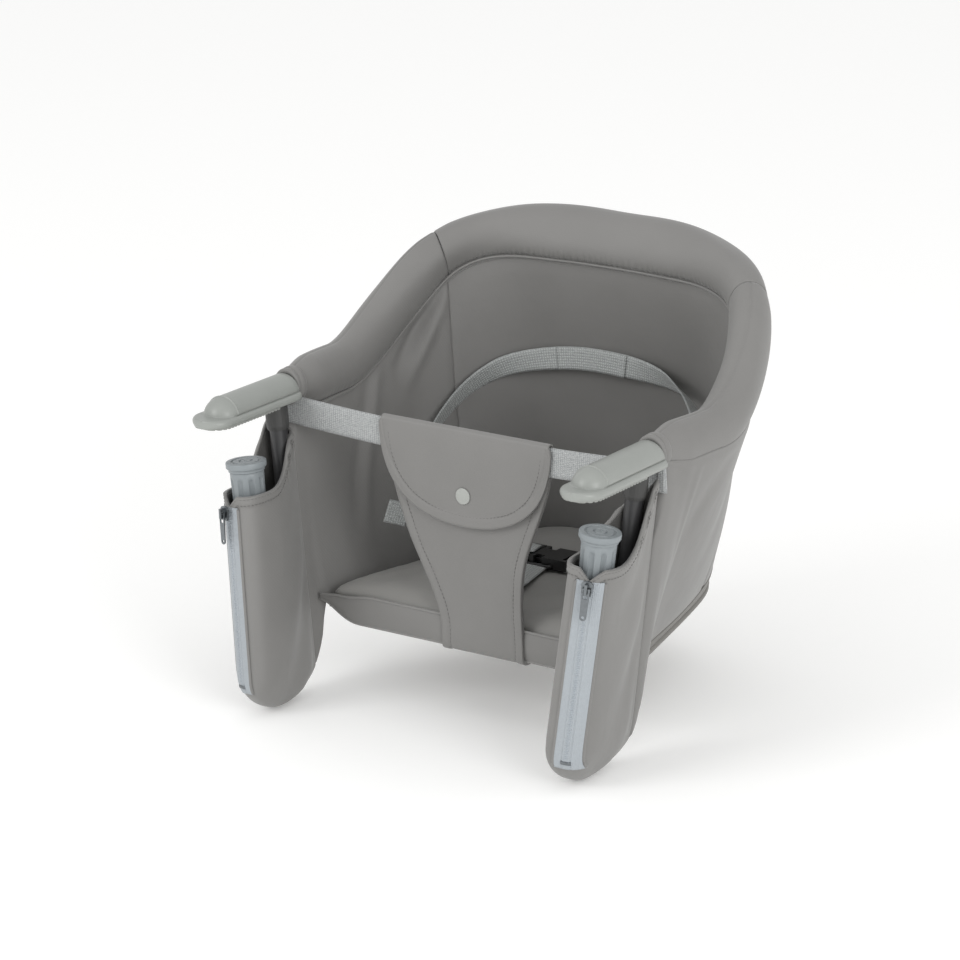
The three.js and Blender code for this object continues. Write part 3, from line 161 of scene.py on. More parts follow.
class Line:
    """A polyline that gives points at shares of its length."""

    def __init__(self, points):
        self.points = np.asarray(points, float)
        steps = np.linalg.norm(np.diff(self.points, axis=0), axis=1)
        self.along = np.concatenate([[0], np.cumsum(steps)])
        self.length = self.along[-1]

    def at(self, share):
        """Points at shares of the length."""
        place = np.clip(share, 0, 1) * self.length
        return np.stack([np.interp(place, self.along, self.points[:, i]) for i in range(3)], -1)

    def heading(self, share):
        """The line's direction there, as unit vectors."""
        step = 0.002
        low, high = np.clip(np.asarray(share) - step, 0, 1), np.clip(np.asarray(share) + step, 0, 1)
        return unit(self.at(high) - self.at(low))


def smooth_line(points, count=200):
    """A rounded line through a few points."""
    points = np.asarray(points, float)
    knots = np.concatenate([[0], np.cumsum(np.linalg.norm(np.diff(points, axis=0), axis=1) ** 0.5)])
    slopes = np.gradient(points, knots, axis=0)
    where = np.linspace(0, knots[-1], count)
    k = np.clip(np.searchsorted(knots, where, "right") - 1, 0, len(points) - 2)
    span = (knots[k + 1] - knots[k])[:, None]
    t = (where - knots[k])[:, None] / span
    made = (1 + 2 * t) * (1 - t) ** 2 * points[k] + t * (1 - t) ** 2 * span * slopes[k]
    made += t * t * (3 - 2 * t) * points[k + 1] + t * t * (t - 1) * span * slopes[k + 1]
    return Line(made)


def plan_line(front, back, front_half, back_half, squareness, ease, height):
    """A straight-sided front that rounds into the back, from left to right."""
    angle = np.linspace(-math.pi / 2, math.pi / 2, PLAN_POINTS)
    depth = np.clip(np.cos(angle), 0, None) ** (2 / squareness)
    side = np.sign(angle) * np.abs(np.sin(angle)) ** (2 / squareness)
    y = front + (back - front) * depth
    x = (front_half + (back_half - front_half) * depth ** ease) * side
    return Line(np.stack([x, y, height(y)], -1))


def rim_height(y):
    """The tube's height along the arms, level and then rising to the back."""
    return ARM_AXIS_HEIGHT + RIM_RISE * smooth(y, RISE_START_Y, RISE_END_Y)


rim = plan_line(RIM_FRONT_Y, RIM_BACK_Y, ARM_HALF_SPACING, RIM_BACK_HALF_WIDTH, RIM_SQUARENESS,
                RIM_FLARE_EASE, rim_height)
wall_start = (WALL_FRONT_Y - RIM_FRONT_Y) / rim.length


def base_line(inset, z, front_inset=None):
    """The base outline at a height, drawn in by inset, from its left front round to its right front."""
    front = BASE_FRONT_Y + (inset if front_inset is None else front_inset)
    return plan_line(front, BASE_BACK_Y - inset, BASE_FRONT_HALF_WIDTH - inset, BASE_BACK_HALF_WIDTH - inset,
                     BASE_SQUARENESS, 1.0, lambda y: np.full_like(y, z))


def base_ring(inset, z, front_inset=None, around=110, across=44):
    """The base outline as a closed ring, with its straight front filled in."""
    ring = base_line(inset, z, front_inset).at(np.linspace(0, 1, around))
    front = np.linspace(0, 1, across + 1)[1:-1, None]
    return np.vstack([ring, ring[-1] * (1 - front) + ring[0] * front])


def rim_place(share):
    """The tube's middle at shares of the rim, with axes outwards and up across it."""
    middle = rim.at(share)
    along = rim.heading(np.clip(share, *RIM_CLIP))
    outward = unit(np.cross([0, 0, 1], along))
    up = np.cross(outward, along)
    return middle, outward, np.where(up[..., 2:] < 0, -up, up)


def from_cuff(share):
    """How far a place on the rim is from the nearer cuff, in millimetres."""
    return rim.length * (np.minimum(share, 1 - share) - wall_start)


def roll_fullness(share):
    """1 on the full roll, less in the cuffs behind the caps."""
    return CUFF_SHARE + (1 - CUFF_SHARE) * smooth(from_cuff(share), 0, CUFF_LENGTH)


def in_clamp(points, sign, lean=LEG_LEAN):
    """Points about the arm's axis, leaned with the leg, in the chair's frame."""
    x, y, z = np.moveaxis(np.asarray(points, float), -1, 0)
    c, s = math.cos(sign * lean), math.sin(sign * lean)
    return np.stack([x * c + z * s + sign * ARM_HALF_SPACING, y, z * c - x * s + ARM_AXIS_HEIGHT], -1)


# Meshes
def quads(rows, cols, wrap=False, first=0):
    """Faces of a grid of points, joined round at its columns if it wraps."""
    row = np.arange(rows - 1)[:, None] * cols + first
    col = np.arange(cols if wrap else cols - 1)[None, :]
    ahead = (col + 1) % cols
    made = np.stack([row + col, row + ahead, row + cols + ahead, row + cols + col], -1)
    return made.reshape(-1, 4).tolist()


def closed_loft(rings):
    """A closed skin over rings, ended by fans."""
    rows, cols = rings.shape[:2]
    points = np.vstack([rings.reshape(-1, 3), rings[0].mean(0), rings[-1].mean(0)])
    faces = quads(rows, cols, wrap=True)
    last = (rows - 1) * cols
    for i in range(cols):
        after = (i + 1) % cols
        faces.append([after, i, rows * cols])
        faces.append([last + i, last + after, rows * cols + 1])
    return points, faces


def hollow_loft(outer, inner):
    """A tube wall between outer and inner rings."""
    rows, cols = outer.shape[:2]
    shift = rows * cols
    faces = quads(rows, cols, wrap=True) + [f[::-1] for f in quads(rows, cols, wrap=True, first=shift)]
    for i in range(cols):
        after = (i + 1) % cols
        end = (rows - 1) * cols
        faces.append([after, i, shift + i, shift + after])
        faces.append([end + i, end + after, shift + end + after, shift + end + i])
    return np.vstack([outer.reshape(-1, 3), inner.reshape(-1, 3)]), faces


def thick_sheet(near, far):
    """A closed sheet between two grids of points."""
    rows, cols = near.shape[:2]
    shift = rows * cols
    faces = quads(rows, cols) + [f[::-1] for f in quads(rows, cols, first=shift)]
    top = [*range(cols)]
    right = [r * cols + cols - 1 for r in range(1, rows)]
    bottom = [(rows - 1) * cols + c for c in range(cols - 2, -1, -1)]
    left = [r * cols for r in range(rows - 2, 0, -1)]
    border = top + right + bottom + left
    for a, b in zip(border, border[1:] + border[:1]):
        faces.append([b, a, shift + a, shift + b])
    return np.vstack([near.reshape(-1, 3), far.reshape(-1, 3)]), faces


def tube_rings(line, count, radius, sides):
    """Rings of a round tube along a line."""
    share = np.linspace(0, 1, count)
    middle, along = line.at(share), line.heading(share)
    spare = np.where(np.abs(along[:, 2:]) < 0.9, [[0.0, 0.0, 1.0]], [[1.0, 0.0, 0.0]])
    across = unit(np.cross(along, spare))
    up = np.cross(across, along)
    angle = turns(sides)[None, :, None]
    radius = np.broadcast_to(np.asarray(radius, float), (count,))[:, None, None]
    return middle[:, None] + radius * (np.cos(angle) * across[:, None] + np.sin(angle) * up[:, None])


def turned(profile, sides):
    """Rings of a part turned about the upright axis, from (radius, height) pairs."""
    angle = turns(sides)
    circle = np.stack([np.cos(angle), np.sin(angle), np.zeros(sides)], -1)
    return np.stack([r * circle + [0, 0, z] for r, z in profile])


def add_piece(name, shape, material, stands_for=(), uv=None, crease=None):
    """A mesh object from points in millimetres and faces, not yet riding on a body."""
    points, faces = shape
    mesh = bpy.data.meshes.new(name)
    mesh.from_pydata((np.asarray(points) * MM).tolist(), [], faces)
    if uv is not None:
        layer = mesh.uv_layers.new(name="metres")
        corner = np.zeros(len(mesh.loops), int)
        mesh.loops.foreach_get("vertex_index", corner)
        layer.data.foreach_set("uv", (np.asarray(uv)[corner] * MM).ravel())
    work = bmesh.new()
    work.from_mesh(mesh)
    bmesh.ops.recalc_face_normals(work, faces=work.faces)
    work.to_mesh(mesh)
    work.free()
    mesh.materials.append(material)
    mesh.shade_smooth()
    if crease is not None:
        mesh.set_sharp_from_angle(angle=math.radians(crease))
    piece = bpy.data.objects.new(name, mesh)
    bpy.context.scene.collection.objects.link(piece)
    if stands_for:
        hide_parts(*stands_for)
    return piece


def add_riding(name, shape, material, body, stands_for=(), uv=None, crease=None):
    """A piece that moves with a body of the frame."""
    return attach(add_piece(name, shape, material, stands_for, uv, crease), body)


def join_shapes(shapes):
    """Several shapes as one list of points and faces."""
    points, faces, shift = [], [], 0
    for more, sides in shapes:
        points.append(np.asarray(more, float))
        faces += [[i + shift for i in f] for f in sides]
        shift += len(more)
    return np.vstack(points), faces


STITCH_PITCH = 3.4
STITCH_LENGTH = 2.5
STITCH_WIDTH = 0.75
STITCH_TAPER = ((-0.5, 0.35), (0.0, 1.0), (0.5, 0.35))


def stitch_row(line, normal):
    """Thread stitches along a line, each a small tapered lozenge lying on the cloth."""
    count = max(2, int(line.length / STITCH_PITCH))
    share = (np.arange(count) + 0.5) / count
    middle, along = line.at(share), line.heading(share)
    normal = unit(np.broadcast_to(np.asarray(normal, float), middle.shape))
    side = unit(np.cross(normal, along))
    lift = np.cross(along, side)
    shapes = []
    for m, a, s, n in zip(middle, along, side, lift):
        rings = []
        for step, share_of_width in STITCH_TAPER:
            w = STITCH_WIDTH / 2 * share_of_width
            centre = m + a * step * STITCH_LENGTH
            rings.append([centre + s * w, centre + n * w, centre - s * w, centre - n * w])
        shapes.append(closed_loft(np.array(rings)))
    return join_shapes(shapes)


# Materials
def linear(code):
    """A colour written as sRGB hex, in linear light."""
    parts = [int(code[i:i + 2], 16) / 255 for i in (1, 3, 5)]
    return [c / 12.92 if c <= 0.04045 else ((c + 0.055) / 1.055) ** 2.4 for c in parts] + [1.0]


def add(tree, kind, inputs=None, **settings):
    """One node with its settings, and its inputs set or linked."""
    made = tree.nodes.new(kind)
    for key, value in settings.items():
        setattr(made, key, value)
    for key, value in (inputs or {}).items():
        if isinstance(value, bpy.types.NodeSocket):
            tree.links.new(value, made.inputs[key])
        else:
            made.inputs[key].default_value = value
    return made


def blank(name, **sockets):
    """A material whose shader has these constant values."""
    material = bpy.data.materials.new(name)
    material.use_nodes = True
    shader = material.node_tree.nodes["Principled BSDF"]
    for key, value in sockets.items():
        shader.inputs[key.replace("_", " ")].default_value = value
    return material, material.node_tree, shader


def bands(spacing):
    """Scale of a wave texture whose bands repeat at this spacing in millimetres."""
    return 2 * math.pi / 20 / (spacing * MM)


def grains(size):
    """Scale of a noise texture with lumps about this many millimetres across."""
    return 1 / (size * MM)


# Sockets of a colour mix by their places, and sizes of the patterns in millimetres
MIX_FACTOR, MIX_A, MIX_B, MIX_RESULT = 0, 6, 7, 2
CLOTH_CLOUD, CLOTH_THREAD, CLOTH_RIPPLE = 70, 1.6, 22
WEB_SPECKLE = 2.2
PLASTIC_CLOUD = 18
METAL_MARK = 3


def taffeta(name, light, dark, sheen):
    """Woven polyester with a soft satin face: faint clouding, a fine thread grain and slack ripples.
    Real threads are about 0.3 mm apart. Here they are 1.6 mm, so that a trace of them shows."""
    material, tree, shader = blank(name, Roughness=0.6, Sheen_Weight=sheen, Sheen_Roughness=0.45)
    place = add(tree, "ShaderNodeTexCoord").outputs["Object"]
    cloud = add(tree, "ShaderNodeTexNoise", {"Vector": place, "Scale": grains(CLOTH_CLOUD), "Detail": 4.0})
    tone = add(tree, "ShaderNodeMix", {MIX_FACTOR: cloud.outputs["Fac"], MIX_A: linear(dark),
                                       MIX_B: linear(light)}, data_type="RGBA")
    tree.links.new(tone.outputs[MIX_RESULT], shader.inputs["Base Color"])
    fine = {"Vector": place, "Scale": bands(CLOTH_THREAD)}
    warp = add(tree, "ShaderNodeTexWave", fine, bands_direction="DIAGONAL")
    weft = add(tree, "ShaderNodeTexWave", fine, bands_direction="Z")
    threads = add(tree, "ShaderNodeMath", {0: warp.outputs["Fac"], 1: weft.outputs["Fac"]},
                  operation="MULTIPLY")
    ripple = add(tree, "ShaderNodeTexNoise", {"Vector": place, "Scale": grains(CLOTH_RIPPLE), "Detail": 2.0})
    slack = add(tree, "ShaderNodeBump", {"Strength": 0.35, "Distance": 1.6 * MM,
                                         "Height": ripple.outputs["Fac"]})
    grain = add(tree, "ShaderNodeBump", {"Strength": 0.12, "Distance": 0.3 * MM, "Height": threads.outputs[0],
                                         "Normal": slack.outputs[0]})
    tree.links.new(grain.outputs[0], shader.inputs["Normal"])
    return material


def webbing_tape(name, light, dark, rib, row):
    """Woven polyester webbing: ribs across the tape and rows of yarn along it, speckled light and dark."""
    material, tree, shader = blank(name, Roughness=0.7, Sheen_Weight=0.2)
    place = add(tree, "ShaderNodeUVMap", uv_map="metres").outputs["UV"]
    ribs = add(tree, "ShaderNodeTexWave", {"Vector": place, "Scale": bands(rib), "Distortion": 0.6,
                                          "Detail Scale": 3.0}, bands_direction="X")
    rows = add(tree, "ShaderNodeTexWave", {"Vector": place, "Scale": bands(row)}, bands_direction="Y")
    yarn = add(tree, "ShaderNodeMath", {0: ribs.outputs["Fac"], 1: rows.outputs["Fac"]}, operation="MULTIPLY")
    speckle = add(tree, "ShaderNodeTexNoise", {"Vector": place, "Scale": grains(WEB_SPECKLE), "Detail": 1.0})
    shade = add(tree, "ShaderNodeMath", {0: yarn.outputs[0], 1: speckle.outputs["Fac"]}, operation="ADD")
    tone = add(tree, "ShaderNodeMix", {MIX_FACTOR: shade.outputs[0], MIX_A: linear(dark),
                                       MIX_B: linear(light)}, data_type="RGBA")
    tree.links.new(tone.outputs[MIX_RESULT], shader.inputs["Base Color"])
    weave = add(tree, "ShaderNodeBump", {"Strength": 0.7, "Distance": 0.6 * MM, "Height": yarn.outputs[0]})
    tree.links.new(weave.outputs[0], shader.inputs["Normal"])
    return material


def moulded(name, light, dark, roughness, grit):
    """Injection-moulded plastic with a fine spark-eroded grain, a little uneven in tone."""
    material, tree, shader = blank(name, Roughness=roughness, IOR=1.49)
    place = add(tree, "ShaderNodeTexCoord").outputs["Object"]
    cloud = add(tree, "ShaderNodeTexNoise", {"Vector": place, "Scale": grains(PLASTIC_CLOUD), "Detail": 5.0})
    tone = add(tree, "ShaderNodeMix", {MIX_FACTOR: cloud.outputs["Fac"], MIX_A: linear(dark),
                                       MIX_B: linear(light)}, data_type="RGBA")
    tree.links.new(tone.outputs[MIX_RESULT], shader.inputs["Base Color"])
    grain = add(tree, "ShaderNodeTexNoise", {"Vector": place, "Scale": grains(grit), "Detail": 2.0})
    pits = add(tree, "ShaderNodeBump", {"Strength": 0.12, "Distance": 0.2 * MM,
                                        "Height": grain.outputs["Fac"]})
    tree.links.new(pits.outputs[0], shader.inputs["Normal"])
    return material


def plated(name, light, dark, roughness):
    """Zinc-plated or cast metal with faint tumbling marks in its gloss."""
    material, tree, shader = blank(name, Metallic=1.0)
    place = add(tree, "ShaderNodeTexCoord").outputs["Object"]
    marks = add(tree, "ShaderNodeTexNoise", {"Vector": place, "Scale": grains(METAL_MARK), "Detail": 6.0})
    tone = add(tree, "ShaderNodeMix", {MIX_FACTOR: marks.outputs["Fac"], MIX_A: linear(dark),
                                       MIX_B: linear(light)}, data_type="RGBA")
    tree.links.new(tone.outputs[MIX_RESULT], shader.inputs["Base Color"])
    gloss = add(tree, "ShaderNodeMapRange", {"Value": marks.outputs["Fac"], "To Min": roughness - 0.08,
                                             "To Max": roughness + 0.12})
    tree.links.new(gloss.outputs[0], shader.inputs["Roughness"])
    return material


# Woven polyester, piece-dyed: matt greys with a faint satin sheen where they turn away; the cushion's copy is
# lightened as painted light and the sleeve lining's darkened as painted shade
cloth = taffeta("grey_taffeta", "#7E7D7B", "#737270", 0.2)
# A lighter copy of the grey cloth for the cushion: painted light, making up for the shade the walls cast on
# the seat
cushion_painted_light = taffeta("cushion_taffeta_painted_light", "#8E8D8A", "#83827F", 0.2)
# A darker copy of the grey cloth for the sheet inside the sleeves: painted shade for their shadowed insides
painted_shade_lining = taffeta("sleeve_lining_painted_shade", "#5A5957", "#4F4E4C", 0.1)
# Dark cloth of the base cover and its binding; on the seat board it also paints the shade in the gap between
# cushion and wall
dark_cloth = taffeta("coated_underside_cloth_and_gap_shade", "#6E6B66", "#605E59", 0.1)
thread = taffeta("sewing_thread", "#6B6A68", "#605F5D", 0.1)
welt_cloth = taffeta("piping_taffeta", "#868583", "#797876", 0.2)
# Woven webbing and tape: pale yarn over dark, so that the ribs show as rows of flecks
strap_web = webbing_tape("strap_webbing", "#B2B4B3", "#696D71", 2.0, 1.5)
belt_web = webbing_tape("belt_webbing", "#AFB2B1", "#707473", 2.2, 2.4)
zip_cloth = webbing_tape("zip_tape_twill", "#A5ABB0", "#9BA1A6", 1.2, 1.2)
# Moulded nylon, polypropylene, acetal and rubber: even tones, a broad soft highlight, dull on rubber
coil_nylon = moulded("zip_coil_nylon", "#A3AAB0", "#979EA4", 0.4, 0.8)
cap_plastic = moulded("cap_polypropylene", "#939692", "#8C8F8B", 0.36, 0.9)
knob_plastic = moulded("knob_nylon", "#888E91", "#7F8588", 0.42, 0.9)
grip_rubber = moulded("grip_rubber", "#8F918D", "#868884", 0.7, 1.4)
dark_plastic = moulded("collar_nylon", "#3F3F3E", "#373736", 0.5, 1.0)
black_plastic = moulded("buckle_acetal", "#242424", "#1B1B1B", 0.38, 1.0)
# Powder coat on steel: near black, with the fine texture of the baked powder
coated_steel = moulded("powder_coated_steel", "#39393A", "#313132", 0.4, 0.7)
# Plated steel and die-cast zinc: a grey metal gloss, blurred here and there by tumbling marks
screw_steel = plated("zinc_plated_screw", "#B4B6B8", "#96989A", 0.34)
cast_zinc = plated("cast_zinc", "#85898C", "#6B6F72", 0.3)
# Lacquer baked on a pressed metal cap: smooth, pale and a little glossy
snap_lacquer = moulded("lacquered_snap", "#A3A5A1", "#9A9C98", 0.35, 1.2)


# Rim roll: padded cloth sewn round the tube, drawn in to a cuff behind each cap
PIPING_ANGLE = math.radians(-128)
PIPING_RADIUS = 1.25
PIPING_GROOVE = 2.0
TOP_SEAM_ANGLE = math.radians(88)
TOP_SEAM_GROOVE = 1.1
SEAM_SLANT = 0.0085
ARCH_ANGLE = math.radians(-145)
ARCH_FULL = 7.5
ARCH_THIN = 3.0
PUCKER_HEIGHT = 0.5
WAVE_HEIGHT = 0.55
CORNER_DRAW = 3.5
CORNER_ANGLE = math.radians(85)
CALM_ANGLE = math.radians(-38)
ROLL_STEP = 1.5


def roll_point(share, angle, swell=0.0):
    """Points on the roll's cloth at shares of the rim and angles round the tube, outside over the top."""
    middle, outward, up = rim_place(share)
    full = roll_fullness(share)
    across = (ROLL_HALF_WIDTH * full + swell) * np.cos(angle)
    tall = (ROLL_HALF_HEIGHT * full + swell) * np.sin(angle) - ROLL_DROP * full
    return middle + across[..., None] * outward + tall[..., None] * up


def from_angle(angle, middle):
    """How far an angle is from another, between minus pi and pi."""
    return np.angle(np.exp(1j * (angle - middle)))


def seam_share(angle):
    """The sewn joint across the roll, which slants a little forwards towards its lower edge."""
    return SEAM_SHARE - 0.004 - SEAM_SLANT * (1 - np.sin(angle))


def roll_arch(share, angle):
    """The padding is fuller inside along the back and thinner at the corners, so the piping arcs."""
    from_back = np.abs(share - 0.5)
    full = ARCH_FULL * smooth(0.19 - from_back, 0, 0.13) - ARCH_THIN * bump(from_back, 0.215, 0.04)
    return full * bump(from_angle(angle, ARCH_ANGLE), 0, 0.7)


def roll_swell(share, angle, low, high):
    """How far the cloth stands off the plain roll: joints drawn in, puckers by the piping, slack along it."""
    along = share * rim.length
    from_end = np.minimum(share - low, high - share) * rim.length
    drawn = -0.8 * (1 - smooth(from_end, 0, 2.4)) - 0.5 * (1 - smooth(from_end, 2, 16))
    around = from_angle(angle, PIPING_ANGLE)
    inside = np.clip(-around, 0, None)
    puckers = PUCKER_HEIGHT * np.sin(along / 0.95 + 1.7 * np.sin(along / 9)) * bump(inside, 0.3, 0.16)
    puckers *= 0.35 + 0.65 * bump(share, 0.47, 0.16)
    seam = -PIPING_GROOVE * (bump(around, 0.06, 0.05) + bump(around, -0.13, 0.04))
    from_back = np.abs(share - 0.5)
    beyond_join = smooth(from_back, 0.205, 0.212)
    top = -TOP_SEAM_GROOVE * bump(from_angle(angle, TOP_SEAM_ANGLE), 0, 0.05) * beyond_join
    waves = WAVE_HEIGHT * np.sin(along / 19 + 2 * np.sin(angle)) * np.cos(angle * 2 + along / 41)
    waves = waves * (1 - bump(from_angle(angle, CALM_ANGLE), 0, 0.8))
    corners = -CORNER_DRAW * bump(from_back, 0.15, 0.045) * bump(from_angle(angle, CORNER_ANGLE), 0, 0.6)
    return drawn + puckers + seam + top + waves + corners + roll_arch(share, angle)


def add_rim_rolls():
    """The padded roll in three lengths, sewn end to end."""
    angle = turns(96)[None, :]
    seam = seam_share(angle)
    ends = np.zeros_like(angle)
    runs = {
        "left_rim_roll": (ends + wall_start, seam),
        "back_rim_roll": (seam, 1 - seam),
        "right_rim_roll": (1 - seam, 1 - wall_start - ends),
    }
    for name, (low, high) in runs.items():
        count = int((high - low).max() * rim.length / ROLL_STEP)
        step = np.linspace(0.0012, 0.9988, count)[:, None]
        share = low + (high - low) * step
        around = np.broadcast_to(angle, share.shape)
        outer = roll_point(share, around, roll_swell(share, around, low, high))
        middle, outward, up = rim_place(share)
        inner = middle + ROLL_BORE * (np.cos(around)[..., None] * outward + np.sin(around)[..., None] * up)
        roll = add_riding(f"{name}_cover", hollow_loft(outer, inner), cloth, "seat", [name])


def add_rim_piping():
    """Two close cords in bias cloth along the roll's inner lower seam, with a row of stitches above them."""
    share = np.linspace(wall_start + 0.004, 1 - wall_start - 0.004, 260)
    for name, angle in (("rim_piping", PIPING_ANGLE - 0.035), ("rim_piping_edge", PIPING_ANGLE + 0.14)):
        welt = Line(roll_point(share, np.full(share.shape, angle), 0.1 + roll_arch(share, angle)))
        add_riding(name, closed_loft(tube_rings(welt, 240, PIPING_RADIUS, 10)), welt_cloth, "seat")
    sewn = PIPING_ANGLE - 0.19
    above = Line(roll_point(share, np.full(share.shape, sewn), roll_arch(share, sewn) - 0.1))
    middle = rim_place(np.linspace(0.02, 0.98, max(2, int(above.length / STITCH_PITCH))))
    add_riding("rim_piping_stitches", stitch_row(above, -middle[1]), thread, "seat")


# The cuff's two folds as (place along the arm, radius) pairs, with a crease between them
CUFF_FOLDS = ((64.4, 14.2), (64.8, 15.2), (66.0, 15.7), (67.6, 15.7), (68.6, 15.1), (69.2, 14.6),
              (69.8, 15.2), (71.2, 16.0), (73.4, 16.2), (75.4, 15.9), (77.0, 15.0))
CUFF_DROP = 3


def add_cuffs():
    """A turned hem at each end of the roll, close behind the cap."""
    angle = turns(48)

    def oval(y, wide, tall, drop):
        return np.stack([wide * np.cos(angle), np.full(angle.shape, y), tall * np.sin(angle) - drop], -1)

    for side, sign in SIDES:
        axis = np.array([sign * ARM_HALF_SPACING, 0, ARM_AXIS_HEIGHT])
        outer = axis + np.array([oval(y, 0.86 * r, 1.02 * r, CUFF_DROP) for y, r in CUFF_FOLDS])
        inner = axis + np.array([oval(y, ROLL_BORE, ROLL_BORE, 0) for y, _ in CUFF_FOLDS])
        add_riding(f"{side}_roll_cuff", hollow_loft(outer, inner), cloth, "seat")


# Bucket walls: padded panels from the roll down to the base, whose front edges meet the clamp sleeves
wall_foot = base_line(WALL_THICKNESS / 2, BASE_TOP_Z + WALL_THICKNESS / 2)
FOOT_FRONT_Y = float(wall_foot.at(0.002)[1])
WALL_LIP_Y = CLAMP_REAR_Y + 0.5
WALL_SEAM = SEAM_SHARE - 0.024
SEWN_ANGLE = math.radians(-13)
SEWN_BACK_ANGLE = math.radians(-95)
CLOSE_ANGLE = math.radians(-32)
TUCK_SHARE = 0.14
OUTER_SWELL = 11.0
OUTER_PUFF = 1.4
LINING_PUFF = 0.8
WALL_HEIGHT = 200
WALL_STEP = 2.4


def wall_frontness(share, start=0.0):
    """1 at a side wall's front edge, which lies in the plane of the clamp leg, and 0 further back."""
    return 1 - smooth(from_cuff(share), start, WALL_FRONT_LENGTH)


def tail_edge(y):
    """The lower edge of the sleeve and of the wall behind it, in the leaning plane of the leg."""
    share = np.clip((y - SLEEVE_TURN_Y) / (SLEEVE_TAIL_Y - SLEEVE_TURN_Y), 0, 1)
    depth = (1 - share ** TAIL_ROUNDNESS) ** (1 / TAIL_ROUNDNESS)
    return SLEEVE_REAR_TURN_Z + (SLEEVE_BOTTOM_Z - SLEEVE_REAR_TURN_Z) * depth


def wall_point(share, v, inside):
    """Points between the roll, at v = 0, and the base, at v = 1, moved into the seat by inside."""
    share, v, inside = np.broadcast_arrays(np.asarray(share, float), v, inside)
    middle, outward, _ = rim_place(share)
    along = rim.heading(np.clip(share, *RIM_CLIP))
    level = np.hypot(along[..., 0], along[..., 1])
    front = wall_frontness(share)
    lip = (WALL_FRONT_Y - WALL_LIP_Y) * front
    low = wall_foot.at(0.5 + (share - 0.5) / (0.5 - wall_start) * 0.498)
    low[..., 1] -= (FOOT_FRONT_Y - WALL_FRONT_Y) * front
    tail = ARM_AXIS_HEIGHT + tail_edge(low[..., 1] - lip) * math.cos(LEG_LEAN)
    low[..., 2] = np.where(front > 0, np.minimum(low[..., 2], tail), low[..., 2])
    leg_plane = ARM_HALF_SPACING - math.tan(LEG_LEAN) * (ARM_AXIS_HEIGHT - low[..., 2])
    low[..., 0] += (np.sign(low[..., 0]) * leg_plane - low[..., 0]) * front
    depth = (ROLL_HALF_HEIGHT + ROLL_DROP) * roll_fullness(share) + WALL_THICKNESS / 2
    top = middle - (depth / level)[..., None] * [0, 0, 1]
    bulge = WALL_BULGE * (1 - front) * np.sin(math.pi * v) ** 2 - inside
    point = top * (1 - v[..., None]) + low * v[..., None] + bulge[..., None] * outward
    point[..., 1] -= lip * smooth(v, 0.08, 0.25)
    return point


def fold(share, v, start, end, width, height):
    """A crease or ridge in the wall along a line between two (share, v) places."""
    start, end = np.array(start), np.array(end)
    run = (end - start) * [rim.length, WALL_HEIGHT]
    at = np.stack([(share - start[0]) * rim.length, (v - start[1]) * WALL_HEIGHT], -1)
    t = np.clip(at @ run / (run @ run), 0, 1)
    off = np.linalg.norm(at - t[..., None] * run, axis=-1)
    return height * bump(off, 0, width) * np.sin(math.pi * np.clip(0.2 + 0.8 * t, 0, 1))


# Creases as their start and end places, width and height
LINING_FOLDS = (
    ((0.245, 0.02), (0.168, 0.11), 9.0, -5.5),
    ((0.262, 0.05), (0.185, 0.24), 9.0, 3.0),
    ((0.143, 0.00), (0.098, 0.80), 8.0, 3.4),
    ((0.132, 0.00), (0.088, 0.70), 7.0, -2.8),
    ((0.205, 0.35), (0.150, 0.95), 20.0, -2.6),
)
OUTER_FOLDS = (
    ((0.062, 0.06), (0.052, 0.98), 4.0, 1.3),
    ((0.120, 0.10), (0.066, 0.45), 12.0, -1.6),
    ((0.210, 0.10), (0.150, 0.80), 16.0, -1.4),
)


def inner_wall(share, v, edge):
    """The lining: sewn in along the piping, easing back to the wall's own line, with soft folds."""
    inside = WALL_THICKNESS / 2 + LINING_PUFF * edge
    mirrored = np.minimum(share, 1 - share)
    for start, end, width, height in LINING_FOLDS:
        inside = inside + fold(mirrored, v, start, end, width, height) * smooth(v, 0, 0.05)
    angle = np.full(share.shape, PIPING_ANGLE + 0.1)
    side = 1 - wall_frontness(share)
    plain = roll_point(share, angle, -0.5)
    arched = roll_point(share, angle, roll_arch(share, angle) - 0.5)
    sewn = (plain - wall_point(share, 0 * v, WALL_THICKNESS / 2)) * ((1 - v) ** 1.6 * side)[..., None]
    return wall_point(share, v, inside) + sewn + (arched - plain) * ((1 - v) ** 5 * side)[..., None]


def outer_wall(share, v, edge):
    """The outer cloth: hangs from the roll's side, from under it at the back, and lies close in front."""
    foot = wall_point(share, 1.0, -WALL_THICKNESS / 2)
    back = smooth(from_cuff(share), 60, 190)
    tip = roll_point(share, SEWN_ANGLE + (SEWN_BACK_ANGLE - SEWN_ANGLE) * back, 0.1)
    hung = tip + (foot - tip) * v[..., None]
    turn = SEWN_ANGLE + (CLOSE_ANGLE - SEWN_ANGLE) * np.clip(v / TUCK_SHARE, 0, 1)
    under = roll_point(share, turn, 0.1)
    hanging = wall_point(share, np.clip((v - TUCK_SHARE) / (1 - TUCK_SHARE), 0, 1), -SLEEVE_OUTER_TAIL)
    close = np.where((v < TUCK_SHARE)[..., None], under, hanging)
    front = wall_frontness(share, 8)[..., None]
    slack = np.zeros(share.shape)
    for start, end, width, height in OUTER_FOLDS:
        slack = slack + fold(np.minimum(share, 1 - share), v, start, end, width, height)
    slack = slack * smooth(v, 0, 0.1) * smooth(1 - v, 0, 0.06)
    slack = slack + OUTER_PUFF * edge + OUTER_SWELL * back * np.sin(math.pi * v ** 1.5)
    outward = rim_place(share)[1]
    return hung * (1 - front) + close * front + slack[..., None] * outward


